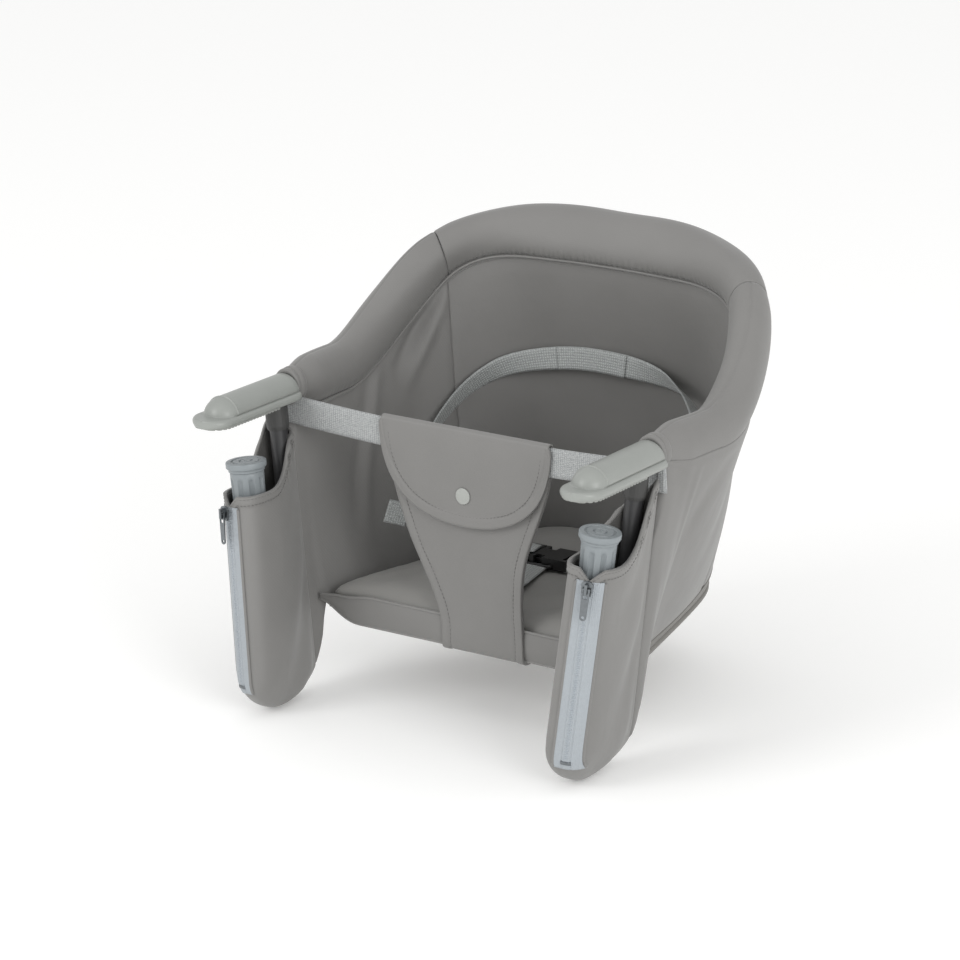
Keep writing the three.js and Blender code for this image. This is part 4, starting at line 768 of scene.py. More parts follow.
def add_walls():
    """The two side panels and the back panel, drawn in a little at the seams between them."""
    runs = {
        "left_side_panel": (wall_start, WALL_SEAM),
        "back_panel": (WALL_SEAM, 1 - WALL_SEAM),
        "right_side_panel": (1 - WALL_SEAM, 1 - wall_start),
    }
    for name, run in runs.items():
        count = int((run[1] - run[0]) * rim.length / WALL_STEP)
        share, v = grid(np.linspace(run[0] - 0.0003, run[1] + 0.0003, count), np.linspace(0, 1, 80))
        from_end = np.minimum(share - run[0], run[1] - share) * rim.length
        edge = smooth(from_end, 0, 9) * smooth(v, 0, 0.06) * smooth(1 - v, 0, 0.06)
        edge = edge - 0.9 * (1 - smooth(from_end, 0, 2.5)) * smooth(v, 0, 0.03)
        shape = thick_sheet(inner_wall(share, v, edge), outer_wall(share, v, edge))
        wall = add_riding(f"{name}_cover", shape, cloth, "seat", [name])


# Seat: dark base cover, stiff board, crowned cushion with a boxed front
CUSHION_LOW_Z = -176.0
CUSHION_EDGE_Z = -163.0
CUSHION_CROWN_Z = -148.6
CUSHION_INSET = 4.0
CUSHION_FRONT_INSET = 1
# Creases of the cushion's top as start x and y, end x and y, width and height
CUSHION_CREASES = ((30, 84, 120, 170, 6, -1.8), (-20, 90, 70, 140, 9, 1.2), (-118, 90, -60, 150, 7, -1.6),
                   (20, 78, 40, 120, 5, 1.0))
BAND_HALF_WIDTH = 153.0
BAND_TOP_Z = -166.0
CORNER_START_X = 108
CORNER_RISE = 15
BINDING_ENDS = (0.062, 0.938)
BINDING_TOP = 0.945


def inflate(pad, voxel, pressure, most, floor):
    """Swells a pad as filled cloth under pressure, with each point's travel capped and its base kept flat."""
    even = pad.modifiers.new("even", "REMESH")
    even.mode = "VOXEL"
    even.voxel_size = voxel * MM
    even.use_smooth_shade = True
    bake(pad)
    start = vertex_places(pad.data)
    filled = pad.modifiers.new("filled", "CLOTH")
    filled.settings.use_pressure = True
    filled.settings.uniform_pressure_force = pressure
    filled.settings.effector_weights.gravity = 0
    filled.point_cache.frame_end = 20
    for step in range(1, 21):
        bpy.context.scene.frame_set(step)
    bake(pad)
    bpy.context.scene.frame_set(1)
    move = vertex_places(pad.data) - start
    reach = np.linalg.norm(move, axis=1, keepdims=True)
    place = start + move * np.minimum(1, most * MM / np.maximum(reach, 1e-9))
    place[:, 2] = np.maximum(place[:, 2], floor * MM)
    pad.data.vertices.foreach_set("co", place.astype(np.float32).ravel())
    pad.data.update()


def bake(piece):
    """The piece's mesh as its modifiers leave it, with none left on it."""
    graph = bpy.context.evaluated_depsgraph_get()
    mesh = bpy.data.meshes.new_from_object(piece.evaluated_get(graph))
    piece.modifiers.clear()
    piece.data = mesh


def vertex_places(mesh):
    """The vertices of a mesh as an array, in metres."""
    place = np.zeros(len(mesh.vertices) * 3, np.float32)
    mesh.vertices.foreach_get("co", place)
    return place.reshape(-1, 3).astype(float)


def add_cushion():
    """The seat pad: a crowned block of filling, swollen as filled cloth and then creased."""
    levels = [(6, CUSHION_LOW_Z), (1.5, CUSHION_LOW_Z + 2), (0, CUSHION_LOW_Z + 6), (1.5, CUSHION_EDGE_Z - 2),
              (6, CUSHION_EDGE_Z)]
    rings = [base_ring(CUSHION_INSET + more, z, CUSHION_FRONT_INSET + more) for more, z in levels]
    middle = np.array([0, (BASE_FRONT_Y + BASE_BACK_Y) / 2, CUSHION_EDGE_Z])
    for share in (0.15, 0.35, 0.6, 0.85):
        ring = rings[len(levels) - 1] * (1 - share) + middle * share
        ring[:, 2] = CUSHION_EDGE_Z + (CUSHION_CROWN_Z - CUSHION_EDGE_Z) * math.sin(share * math.pi / 2)
        rings.append(ring)
    # The cushion wears the lighter copy of the cloth: painted light for the walled-in seat
    pad = add_piece("seat_pad", closed_loft(np.array(rings)), cushion_painted_light, ["seat_cushion"])
    inflate(pad, voxel=5, pressure=4, most=4, floor=CUSHION_LOW_Z)
    crease_cushion(pad)
    pad.data.shade_smooth()
    soften = pad.modifiers.new("soften", "SUBSURF")
    soften.levels = 1
    soften.render_levels = 1
    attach(pad, "seat")


def crease_cushion(pad):
    """Soft diagonal creases in the cushion's top, and its height kept under the belt."""
    place = vertex_places(pad.data) / MM
    x, y = place[:, 0], place[:, 1]
    on_top = smooth(place[:, 2], CUSHION_EDGE_Z - 4, CUSHION_EDGE_Z + 4)
    crease = np.zeros(len(place))
    for x0, y0, x1, y1, width, height in CUSHION_CREASES:
        run = np.array([x1 - x0, y1 - y0])
        t = np.clip(((x - x0) * run[0] + (y - y0) * run[1]) / (run @ run), 0, 1)
        off = np.hypot(x - x0 - t * run[0], y - y0 - t * run[1])
        crease += height * bump(off, 0, width) * np.sin(math.pi * (0.1 + 0.8 * t))
    place[:, 2] = np.minimum(place[:, 2] + crease * on_top, CUSHION_CROWN_Z + 1.2)
    pad.data.vertices.foreach_set("co", (place * MM).astype(np.float32).ravel())
    pad.data.update()


def add_base_binding():
    """A dark cloth tape sewn round the lower edge of the walls."""
    share, v = grid(np.linspace(*BINDING_ENDS, 240), np.linspace(BINDING_TOP, 1, 8))
    skin = outer_wall(share, v, smooth(1 - v, 0, 0.06))
    outward = rim_place(share)[1]
    hem = 0.7 * np.sin(math.pi * np.linspace(0.1, 0.9, 8)) ** 0.5
    near, far = skin + hem[None, :, None] * outward, skin - 0.6 * outward
    add_riding("base_binding", thick_sheet(far, near), dark_cloth, "seat")


def add_base():
    """A dark cloth cover under the seat with a rounded lower edge, and the cloth band across its front."""
    low, high = BASE_TOP_Z - BASE_THICKNESS, BASE_TOP_Z + 1.5
    levels = [(6, low), (2, low + 0.8), (0.3, low + 3), (0, high - 1.5), (1.2, high)]
    rings = np.array([base_ring(inset, z) for inset, z in levels])
    at_front = 1 - smooth(rings[..., 1], BASE_FRONT_Y + 4, BASE_FRONT_Y + 50)
    rise = CORNER_RISE * smooth(np.abs(rings[..., 0]), CORNER_START_X, BAND_HALF_WIDTH) ** 1.5 * at_front
    rings[..., 2] = low + rise + (rings[..., 2] - low) * (1 - rise / 18)
    add_riding("base_underside", closed_loft(rings), dark_cloth, "seat", ["base_cover"])
    x = np.linspace(-BAND_HALF_WIDTH, BAND_HALF_WIDTH, 150)
    out = np.abs(x)
    from_corner = smooth(out, CORNER_START_X, BAND_HALF_WIDTH)
    low_edge = low - 0.4 + CORNER_RISE * from_corner ** 1.5
    high_edge = BAND_TOP_Z - 4 * smooth(out, 96, 130) - 2 * smooth(out, 130, BAND_HALF_WIDTH)
    h = np.linspace(0, 1, 26)[:, None]
    puff = 2.2 * np.sin(math.pi * h) ** 0.7 * (1 - 0.6 * from_corner)
    ruck = 0.5 * np.sin(x / 6.5 + 4 * np.sin(x / 31)) * np.sin(math.pi * h) * smooth(out, 30, 110)
    z = high_edge + (low_edge - high_edge) * h
    y_front = BASE_FRONT_Y - 0.6 - puff - ruck + 1.4 * from_corner
    near = np.stack(np.broadcast_arrays(x, y_front, z), -1)
    far = np.stack(np.broadcast_arrays(x, BASE_FRONT_Y + 3.0 + 0 * puff, z), -1)
    band = add_riding("seat_front_band", thick_sheet(near, far), cloth, "seat")
    for name, line_z in (("seat_band_piping", high_edge + 0.6), ("seat_band_hem", low_edge - 0.1)):
        welt = Line(np.stack([x, np.full(x.shape, BASE_FRONT_Y - 0.2) + 1.4 * from_corner, line_z], -1))
        add_riding(name, closed_loft(tube_rings(welt, 130, 1.2, 10)), welt_cloth, "seat")


# Webbing
def ribbon(line, width, thickness, count, lean=None, across=9):
    """A flat tape on edge along a line, as a closed shape, with its own lengths as texture places."""
    share = np.linspace(0, 1, count)
    middle, along = line.at(share), line.heading(share)
    flat = unit(np.cross(along, [0, 0, 1]))
    tall = np.cross(flat, along)
    if lean is not None:
        turn = np.radians(np.interp(share, *zip(*lean)))[:, None]
        tall, flat = tall * np.cos(turn) + flat * np.sin(turn), flat * np.cos(turn) - tall * np.sin(turn)
    place = np.linspace(-0.5, 0.5, across)
    round_off = np.sqrt(np.clip(1 - (2 * np.abs(place)) ** 8, 0, 1)) * 0.75 + 0.25
    near = middle[:, None] + place[None, :, None] * width * tall[:, None]
    off = (round_off * thickness / 2)[None, :, None] * flat[:, None]
    uv = np.stack(np.broadcast_arrays((share * line.length)[:, None], place[None, :] * width), -1)
    uv = uv.reshape(-1, 2)
    return thick_sheet(near + off, near - off), np.vstack([uv, uv])


def add_bar_strap():
    """The webbing across the front, with its ends folded back on it and sewn."""
    x = np.linspace(-1, 1, 15) * STRAP_HALF_LENGTH
    z = STRAP_TOP_Z - STRAP_WIDTH / 2 - STRAP_SAG * (1 - (x / STRAP_HALF_LENGTH) ** 2)
    line = smooth_line(np.stack([x, np.full(15, STRAP_Y), z], -1))
    shape, uv = ribbon(line, STRAP_WIDTH, STRAP_THICKNESS, 120)
    add_riding("bar_strap_webbing", shape, strap_web, "seat", ["bar_strap"], uv)
    for side, sign in SIDES:
        ends = [(sign * (STRAP_HALF_LENGTH - back), STRAP_Y - 1.75, STRAP_TOP_Z - STRAP_WIDTH / 2 - 0.1)
                for back in (6.5, 3.5, 0.3)]
        shape, uv = ribbon(Line(ends), STRAP_WIDTH - 0.6, STRAP_THICKNESS, 8)
        add_riding(f"{side}_strap_end_fold", shape, strap_web, "seat", uv=uv)


BUCKLE_X = 15.0
BUCKLE_Y = 185.0
BUCKLE_LENGTH = 36.0
BELT_START_X = BUCKLE_X - BUCKLE_LENGTH / 2 - 1
BELT_Z = -145.8
BELT_OFF_WALL = 8.2
# Where the belt passes the walls: share of the rim, share of the wall's height, and further off the wall
BELT_SPOTS = ((0.2, 0.52, 8), (0.27, 0.4, 3), (0.34, 0.36, 3), (0.42, 0.335, 4), (0.5, 0.325, 5),
              (0.58, 0.35, 10), (0.67, 0.38, 22), (0.77, 0.42, 14), (0.86, 0.62, 6))
# The belt's lean in degrees at shares of its length: 0 stands on edge and 90 lies flat
BELT_LEAN = ((0, 90), (0.06, 90), (0.16, 10), (0.24, 27), (0.34, 22), (0.42, -4), (0.515, -4), (0.56, 22),
             (0.6, 46), (0.68, 50), (0.78, 20), (0.86, 0), (0.94, 90), (1, 90))
LAP_SHARES = (0.425, 0.515)
LAP_LEAN = -4
FLAT = ((0, 90), (1, 90))
TAIL_Z = -134.6
TAIL_REACH, TAIL_FORWARD, TAIL_RISE = 109, 67, 33
TAIL_LEAN = ((0, 90), (0.2, 90), (0.5, 45), (0.8, 0), (1, 0))


def add_waist_belt():
    """The belt round the inside of the walls to both ends of the buckle, and the lap sewn in its middle."""
    on_wall = [wall_point(s, v, BELT_OFF_WALL + more) for s, v, more in BELT_SPOTS]
    body_end = BUCKLE_X + BUCKLE_LENGTH / 2
    route = [(BELT_START_X, BUCKLE_Y, BELT_Z), (BELT_START_X - 38, BUCKLE_Y, BELT_Z),
             (BELT_START_X - 76, BUCKLE_Y, BELT_Z + 14), *on_wall,
             (body_end + 38, BUCKLE_Y - 14, BELT_Z + 14), (body_end + 11.4, BUCKLE_Y, BELT_Z),
             (body_end - 1, BUCKLE_Y, BELT_Z)]
    line = smooth_line(route, 600)
    shape, uv = ribbon(line, BELT_WIDTH, BELT_THICKNESS, 340, BELT_LEAN)
    add_riding("waist_belt_webbing", shape, belt_web, "seat", ["waist_belt"], uv)
    share = np.linspace(*LAP_SHARES, 30)
    inward = -rim_place(np.full(30, 0.5))[1]
    lap = Line(line.at(share) + 1.7 * inward)
    shape, uv = ribbon(lap, BELT_WIDTH, BELT_THICKNESS, 30, ((0, LAP_LEAN), (1, LAP_LEAN)))
    add_riding("waist_belt_lap", shape, belt_web, "seat", uv=uv)


def add_belt_tail():
    """The belt's loose end: from the buckle forward and up on to its edge, with a turned hem."""
    def along(share, rise):
        return (BELT_START_X - TAIL_REACH * share, BUCKLE_Y - TAIL_FORWARD * share * share,
                TAIL_Z + TAIL_RISE * rise)

    line = smooth_line([along(0, 0), along(0.3, 0.1), along(0.65, 0.5), along(1, 1)])
    shape, uv = ribbon(line, BELT_WIDTH, BELT_THICKNESS, 90, TAIL_LEAN)
    add_riding("belt_tail_webbing", shape, belt_web, "belt_tongue", ["belt_tail"], uv)
    hem = Line(line.at(np.linspace(0.86, 1, 12)) + np.array([1.0, -1.5, 0]))
    shape, uv = ribbon(hem, BELT_WIDTH, BELT_THICKNESS, 14)
    add_riding("belt_tail_hem", shape, belt_web, "belt_tongue", uv=uv)


CROTCH_STRAP_ROUTE = ((14, 77.5, -172), (14, 80, -160), (13.5, 92, -150), (12, 120, -146.2), (8, 150, -144.6),
                      (5.5, 171, -142.8))
LOOP_PLACE = (5.5, 172.5, -142.2)
LOOP_HALF_WIDTH, LOOP_HALF_DEPTH, LOOP_TILT, LOOP_RADIUS = 13, 5, 0.5, 1.7


def add_crotch_strap():
    """Webbing from the seat front to the buckle, with a black web loop on its end."""
    line = smooth_line(CROTCH_STRAP_ROUTE)
    shape, uv = ribbon(line, BELT_WIDTH, BELT_THICKNESS, 60, FLAT)
    add_riding("crotch_strap_webbing", shape, belt_web, "seat", uv=uv)
    turn = np.linspace(0, 2 * math.pi, 60)
    wide = np.abs(np.cos(turn)) ** 0.5 * np.sign(np.cos(turn))
    deep = np.abs(np.sin(turn)) ** 0.5 * np.sign(np.sin(turn))
    loop = Line(np.stack([LOOP_HALF_WIDTH * wide, LOOP_HALF_DEPTH * deep, LOOP_TILT * deep], -1) + LOOP_PLACE)
    rings = tube_rings(loop, 60, LOOP_RADIUS, 10)
    add_riding("crotch_strap_loop", closed_loft(rings), black_plastic, "seat")


# Crotch panel and the flap that folds over the strap
PANEL_HALF_THICKNESS = 1.2
PANEL_HEM = 8
FLAP_HALF_THICKNESS = 1.0
FLAP_HEM = 9.2


def add_crotch_panel():
    """Cloth from the strap down over the seat front and under the base, with a sewn hem on both edges."""
    strap_bottom = STRAP_TOP_Z - STRAP_WIDTH - STRAP_SAG
    under = BASE_TOP_Z - BASE_THICKNESS - 2.4
    drop = smooth_line([(0, PANEL_Y, STRAP_TOP_Z - STRAP_SAG), (0, PANEL_Y, strap_bottom),
                        (0, PANEL_Y - 0.3, -90), (0, 71.6, -151), (0, 71.6, -190), (0, 74, under),
                        (0, 114, under)], 400)
    rows, cols = 110, 61
    v, u = grid(np.linspace(0, 1, rows), np.linspace(0, 1, cols))
    middle = drop.at(v)
    down = np.clip((STRAP_TOP_Z - middle[..., 2]) / (STRAP_TOP_Z - BASE_TOP_Z), 0, 1)
    half = PANEL_TOP_HALF_WIDTH + (PANEL_LOW_HALF_WIDTH - PANEL_TOP_HALF_WIDTH) * smooth(down, 0.05, 0.95)
    middle[..., 0] = PANEL_LOW_SHIFT * smooth(down, 0.5, 1) + half * (2 * u - 1)
    along = drop.heading(np.linspace(0.003, 0.997, rows))
    normal = np.cross([1.0, 0, 0], along)[:, None]
    from_edge = np.minimum(u, 1 - u) * 2 * half
    hem = 0.7 * smooth(PANEL_HEM - 0.5 - from_edge, 0, 1.2) - 0.6 * bump(from_edge, PANEL_HEM, 0.8)
    slack = 1.1 * np.sin(7 * u + 4 * v) * np.sin(math.pi * u) * smooth(v, 0.2, 0.5) * smooth(1 - v, 0.25, 0.4)
    front = middle - normal * (PANEL_HALF_THICKNESS + hem + slack)[..., None]
    back = middle + normal * (PANEL_HALF_THICKNESS + hem - slack)[..., None]
    shape = thick_sheet(front, back)
    panel = add_riding("crotch_panel_cloth", shape, cloth, "seat", ["crotch_panel"])
    rows_of_thread = []
    for edge in (0, 1):
        inner = np.abs(edge - PANEL_HEM / (2 * half[:, 0]))
        col = np.clip(inner * (cols - 1), 0, cols - 2)
        low = col.astype(int)
        part = (col - low)[:, None]
        r = np.arange(rows)
        line = Line((front[r, low] * (1 - part) + front[r, low + 1] * part)[8:90] + [0, -0.15, 0])
        rows_of_thread.append(stitch_row(line, [0, -1, 0]))
    add_riding("crotch_panel_stitches", join_shapes(rows_of_thread), thread, "seat")


def cubic_shares(t):
    """The shares of a cubic curve's four points at places along it."""
    return np.stack([(1 - t) ** 3, 3 * t * (1 - t) ** 2, 3 * t * t * (1 - t), t ** 3], -1)


def flap_outline(s):
    """The flap's free edge, from its left top round to its right top, as two cubic curves."""
    low = FLAP_TOP_Z - FLAP_DROP
    shoulder = FLAP_TOP_Z - 0.8 * FLAP_DROP
    t = 1 - np.abs(2 * s - 1)
    ends = np.array([[FLAP_HALF_WIDTH, FLAP_TOP_Z], [FLAP_HALF_WIDTH, shoulder],
                     [FLAP_HALF_WIDTH / 2, low], [0, low]])
    x, z = np.moveaxis(cubic_shares(t) @ ends, -1, 0)
    return np.where(s < 0.5, -x, x), z


def add_crotch_flap():
    """A D-shaped flap of cloth that goes over the strap and is sewn behind it, with a stitched hem."""
    across = np.linspace(0.012, 0.988, 121)
    edge_x, edge_z = flap_outline(across)
    top_x = FLAP_HALF_WIDTH * (2 * across - 1)
    down = np.linspace(0, 1, 40)[:, None]
    x = top_x * (1 - down) + edge_x * down
    z = FLAP_TOP_Z * (1 - down) + edge_z * down
    from_edge = (1 - down) * np.hypot(edge_x - top_x, edge_z - FLAP_TOP_Z)
    hem = 0.5 * smooth(9 - from_edge, 0, 1.2) - 0.5 * bump(from_edge, 9.4, 0.8)
    curl = 0.7 * smooth(down, 0.5, 1) * np.cos(x / 30)
    face = np.stack([x, FLAP_Y - FLAP_HALF_THICKNESS - hem - curl, z], -1)
    rear = np.stack([x, FLAP_Y + FLAP_HALF_THICKNESS - 0.5 * curl + 0 * hem, z], -1)
    turn = np.linspace(math.pi, 0, 13)[:-1, None]
    tuck_z = np.linspace(-9, -1, 4)[:, None]
    layers = []
    for grow, hanging in ((FLAP_HALF_THICKNESS, face), (-FLAP_HALF_THICKNESS, rear)):
        reach = STRAP_Y - FLAP_Y + grow
        tuck = np.broadcast_arrays(top_x[None] * 0.99, STRAP_Y + reach, tuck_z)
        over_z = FLAP_TOP_Z + 0.7 * reach * np.sin(turn)
        over = np.broadcast_arrays(top_x[None] * 0.996, STRAP_Y - reach * np.cos(turn), over_z)
        layers.append(np.vstack([np.stack(tuck, -1), np.stack(over, -1), hanging]))
    flap = add_piece("crotch_flap_cloth", thick_sheet(*layers), cloth, ["crotch_flap"])
    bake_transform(flap)
    s = np.linspace(0.03, 0.97, 200)
    line_x, line_z = flap_outline(s)
    inward = unit(np.stack([-np.gradient(line_z, s), np.gradient(line_x, s)], -1))
    inward = np.where(inward[:, 1:] < 0, -inward, inward)
    sewn = np.stack([line_x + FLAP_HEM * inward[:, 0], np.full(s.shape, FLAP_Y - 1.1),
                     line_z + FLAP_HEM * inward[:, 1]], -1)
    sewn[:, 1] -= 0.7 * smooth((FLAP_TOP_Z - sewn[:, 2]) / FLAP_DROP, 0.5, 1) * np.cos(sewn[:, 0] / 30) - 0.2
    add_riding("crotch_flap_stitches", stitch_row(Line(sewn), [0, -1, 0]), thread, "flap")


SNAP_Z = -56.0
SNAP_RADIUS = 7.0


def add_snap():
    """A lacquered press-stud cap: a shallow dome in a rolled rim."""
    face = FLAP_Y - 1.3
    profile = [(SNAP_RADIUS - 0.4, 0), (SNAP_RADIUS, 0.4), (SNAP_RADIUS - 0.1, 0.9),
               (SNAP_RADIUS - 0.7, 1.15), (SNAP_RADIUS - 1.4, 1.0), (SNAP_RADIUS - 2.6, 1.25),
               (SNAP_RADIUS * 0.35, 1.5), (0.3, 1.55)]
    rings = turned(profile, 40)
    rings = np.stack([rings[..., 0], face - rings[..., 2], SNAP_Z + rings[..., 1]], -1)
    add_riding("snap_cap_dome", closed_loft(rings), snap_lacquer, "flap", ["snap_cap"])


# Finish of the solids that stay as they are
EDGE_ANGLE = math.radians(38)
BUCKLE_BEVEL = 0.7


def dress_solids():
    """Finishes on the solids, with round faces smooth, and rounded edges on the buckle."""
    finishes = {
        "top_tube": coated_steel,
        # The board's edge shows in the gap round the cushion; dark cloth on it paints the shade there
        "seat_board": dark_cloth,
        "snap_socket": snap_lacquer,
        "buckle_body": black_plastic,
        "buckle_tongue": black_plastic,
    }
    bevelled = ("buckle_body", "buckle_tongue")
    for side, _ in SIDES:
        finishes.update({
            f"{side}_grip_pad": grip_rubber,
            f"{side}_leg_collar": dark_plastic,
            f"{side}_spindle_nut": cast_zinc,
            f"{side}_spindle": screw_steel,
            f"{side}_zip_slider": cast_zinc,
            f"{side}_zip_pull": cast_zinc,
        })
    for name, material in finishes.items():
        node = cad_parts[name]
        node.data.materials.clear()
        node.data.materials.append(material)
        node.data.shade_smooth()
        node.data.set_sharp_from_angle(angle=EDGE_ANGLE)
        if name in bevelled:
            rounded = node.modifiers.new("rounded", "BEVEL")
            rounded.width = BUCKLE_BEVEL * MM
            rounded.segments = 2
            rounded.angle_limit = math.radians(40)


# Clamp: cap, knob, sleeve and zip on each arm
CAP_FRONT_Y = -52.0
CAP_DOME_RADIUS = 16.3
CAP_DOME_Z = -6.5
CAP_BEAD_Z = -7.6
CAP_NOSE_Y = -22.7
FLANGE_HALF_WIDTH = 18.5
FLANGE_LIP = 3.6


def cap_section(y):
    """The cap's outline across the arm at one place along it: flat base, rounded bead, ledge and dome."""
    bend = CAP_FRONT_Y + FLANGE_HALF_WIDTH
    share = np.clip((bend - y) / FLANGE_HALF_WIDTH, 0, 0.9995)
    half = FLANGE_HALF_WIDTH * math.sqrt(1 - share ** 2)
    lip = min(FLANGE_LIP, half * 0.8)
    round_lip = np.linspace(-math.pi / 2, math.pi / 2, 13)
    right = [(half - lip + lip * math.cos(a), CAP_BEAD_Z + FLANGE_LIP * math.sin(a)) for a in round_lip]
    ledge_z = CAP_BEAD_Z + FLANGE_LIP
    rise = ledge_z - CAP_DOME_Z
    ahead = min(max(CAP_NOSE_Y - y, 0) / CAP_DOME_RADIUS, 1)
    step = 0.45 * smooth(CAP_NOSE_Y - y, -0.15, 0.15) - 0.5 * bump(y, CAP_NOSE_Y + 0.2, 0.45)
    dome = max((CAP_DOME_RADIUS - step) * math.sqrt(1 - ahead ** 2), rise + 0.02)
    start = math.asin(rise / dome)
    fillet = min(1.2, 0.25 * dome)
    foot = min(dome * math.cos(start), half - lip)
    if foot + fillet < half - lip:
        right += [(half - lip + (foot + fillet - half + lip) * s, ledge_z) for s in (0.5, 1.0)]
    while len(right) < 15:
        right.append(right[-1])
    arc = np.linspace(start + min(0.09, (math.pi / 2 - start) * 0.3), math.pi / 2, 18)
    right += [(min(dome * math.cos(a), half), CAP_DOME_Z + dome * math.sin(a)) for a in arc]
    left = [(-x, z) for x, z in right[-2::-1]]
    base = [(x * (half - lip), CAP_BEAD_Z - FLANGE_LIP) for x in np.linspace(-1, 1, 9)[1:-1]]
    return np.array([(x, y, z) for x, z in right + left + base])


def add_cap(side, sign):
    """The cap on an arm's end: rounded in front, with a step where the dome's nose begins."""
    bend = CAP_FRONT_Y + FLANGE_HALF_WIDTH
    front = bend - FLANGE_HALF_WIDTH * np.cos(np.linspace(0.03, math.pi / 2, 26))
    dome_nose = CAP_NOSE_Y - CAP_DOME_RADIUS * np.cos(np.linspace(0.0, math.pi / 2, 30))
    edge = CAP_NOSE_Y + np.array([-0.4, -0.2, 0, 0.2, 0.4, 0.7, 1.0])
    body = np.linspace(CAP_NOSE_Y + 2, CLAMP_REAR_Y - 1.2, 16)
    stations = np.unique(np.round(np.concatenate([front, dome_nose, edge, body]), 2))
    rings = [cap_section(y) for y in stations]
    end = rings[-1].copy()
    end[:, 1] = CLAMP_REAR_Y
    middle = np.array([0, 0, 0.5])
    end[:, [0, 2]] = (end[:, [0, 2]] - middle[[0, 2]]) * 0.94 + middle[[0, 2]]
    rings.append(end)
    points, faces = closed_loft(np.array(rings))
    add_riding(f"{side}_cap_shell", (in_clamp(points, sign, 0), faces), cap_plastic,
               f"{side}_clamp", [f"{side}_arm_cap"], crease=60)


LEG_RADIUS = 7.5
LEG_BORE = 6.0
LEG_LOW_Z = -240
LEG_REAR_TOP_Z = -13.9
LEG_FRONT_TOP_Z = -112.3


def add_leg(side, sign):
    """The bent clamp tube: rear leg, round bend and front leg, smooth and hollow."""
    bend_top = LEG_LOW_Z + LEG_SPACING
    t = np.linspace(0, 1, 60)
    ends = np.array([[0, LEG_SPACING, bend_top], [0, LEG_SPACING, LEG_LOW_Z + LEG_SPACING * 0.3],
                     [0, 0, LEG_LOW_Z - LEG_SPACING * 0.1], [0, 0, bend_top]])
    bend = cubic_shares(t) @ ends
    line = Line(np.vstack([[[0, LEG_SPACING, LEG_REAR_TOP_Z]], bend, [[0, 0, LEG_FRONT_TOP_Z]]]))
    share = np.linspace(0, 1, 90)
    middle, along = line.at(share)[:, None], line.heading(share)[:, None]
    across = np.array([1.0, 0, 0])
    normal = np.cross(along, across)
    angle = turns(32)[None, :, None]
    skin = np.cos(angle) * across + np.sin(angle) * normal
    points, faces = hollow_loft(middle + LEG_RADIUS * skin, middle + LEG_BORE * skin)
    add_riding(f"{side}_leg_tube", (in_clamp(points, sign), faces), coated_steel,
               f"{side}_clamp", [f"{side}_clamp_tube"], crease=50)


PAD_TOP_Z = -(ARM_AXIS_HEIGHT + 37.7) / math.cos(LEG_LEAN)
PAD_RADIUS = 17.0
PAD_HEIGHT = 8.0
PAD_GROOVE = 0.8
GRIP_TOP_Z = PAD_TOP_Z - PAD_HEIGHT - 0.3
GRIP_LENGTH = 44.0
GRIP_RADIUS = 14.2
GRIP_FLUTES = 9
FLUTE_DEPTH = 1.6


def add_knob(side, sign):
    """The pad that presses on the table, with two ring grooves, and the fluted grip under it."""
    top, rim_edge = PAD_TOP_Z, PAD_RADIUS
    groove = top - PAD_GROOVE
    profile = [(0.4, top - 0.5), (1.1, top - 0.5), (1.5, top), (4.2, top), (4.6, groove), (5.8, groove),
               (6.2, top), (10.6, top), (11.0, groove), (12.4, groove), (12.8, top),
               (rim_edge - 1.0, top), (rim_edge - 0.3, top - 0.3), (rim_edge, top - 1), (rim_edge, top - 4.6),
               (rim_edge - 0.4, top - 5.3), (rim_edge - 1.3, top - 5.7), (rim_edge - 1.8, top - 6.4),
               (rim_edge - 1.8, top - PAD_HEIGHT)]
    points, faces = closed_loft(turned(profile, 72))
    add_riding(f"{side}_table_pad", (in_clamp(points, sign), faces), knob_plastic,
               f"{side}_pad", [f"{side}_knob_pad"], crease=40)
    angle = turns(GRIP_FLUTES * 12)
    flute = np.clip(np.cos(GRIP_FLUTES * angle), -0.2, 1)
    flute = smooth(flute, 0.0, 0.75)
    low = GRIP_TOP_Z - GRIP_LENGTH
    levels = [(GRIP_TOP_Z, 0.97, 0), (GRIP_TOP_Z - 0.6, 1.0, 0), (GRIP_TOP_Z - 4.5, 1.0, 0),
              (GRIP_TOP_Z - 6.0, 1.0, 0.6), (GRIP_TOP_Z - 7.5, 0.995, 1.0), (GRIP_TOP_Z - 24, 0.97, 1.0),
              (low + 2, 0.95, 1.0), (low + 0.6, 0.94, 0.9), (low, 0.9, 0.6)]
    rings = []
    for z, share, depth in levels:
        radius = GRIP_RADIUS * share - FLUTE_DEPTH * depth * flute
        rings.append(np.stack([radius * np.cos(angle), radius * np.sin(angle), np.full(angle.shape, z)], -1))
    points, faces = closed_loft(np.array(rings))
    add_riding(f"{side}_fluted_grip", (in_clamp(points, sign), faces), knob_plastic,
               f"{side}_knob", [f"{side}_knob_grip"], crease=40)


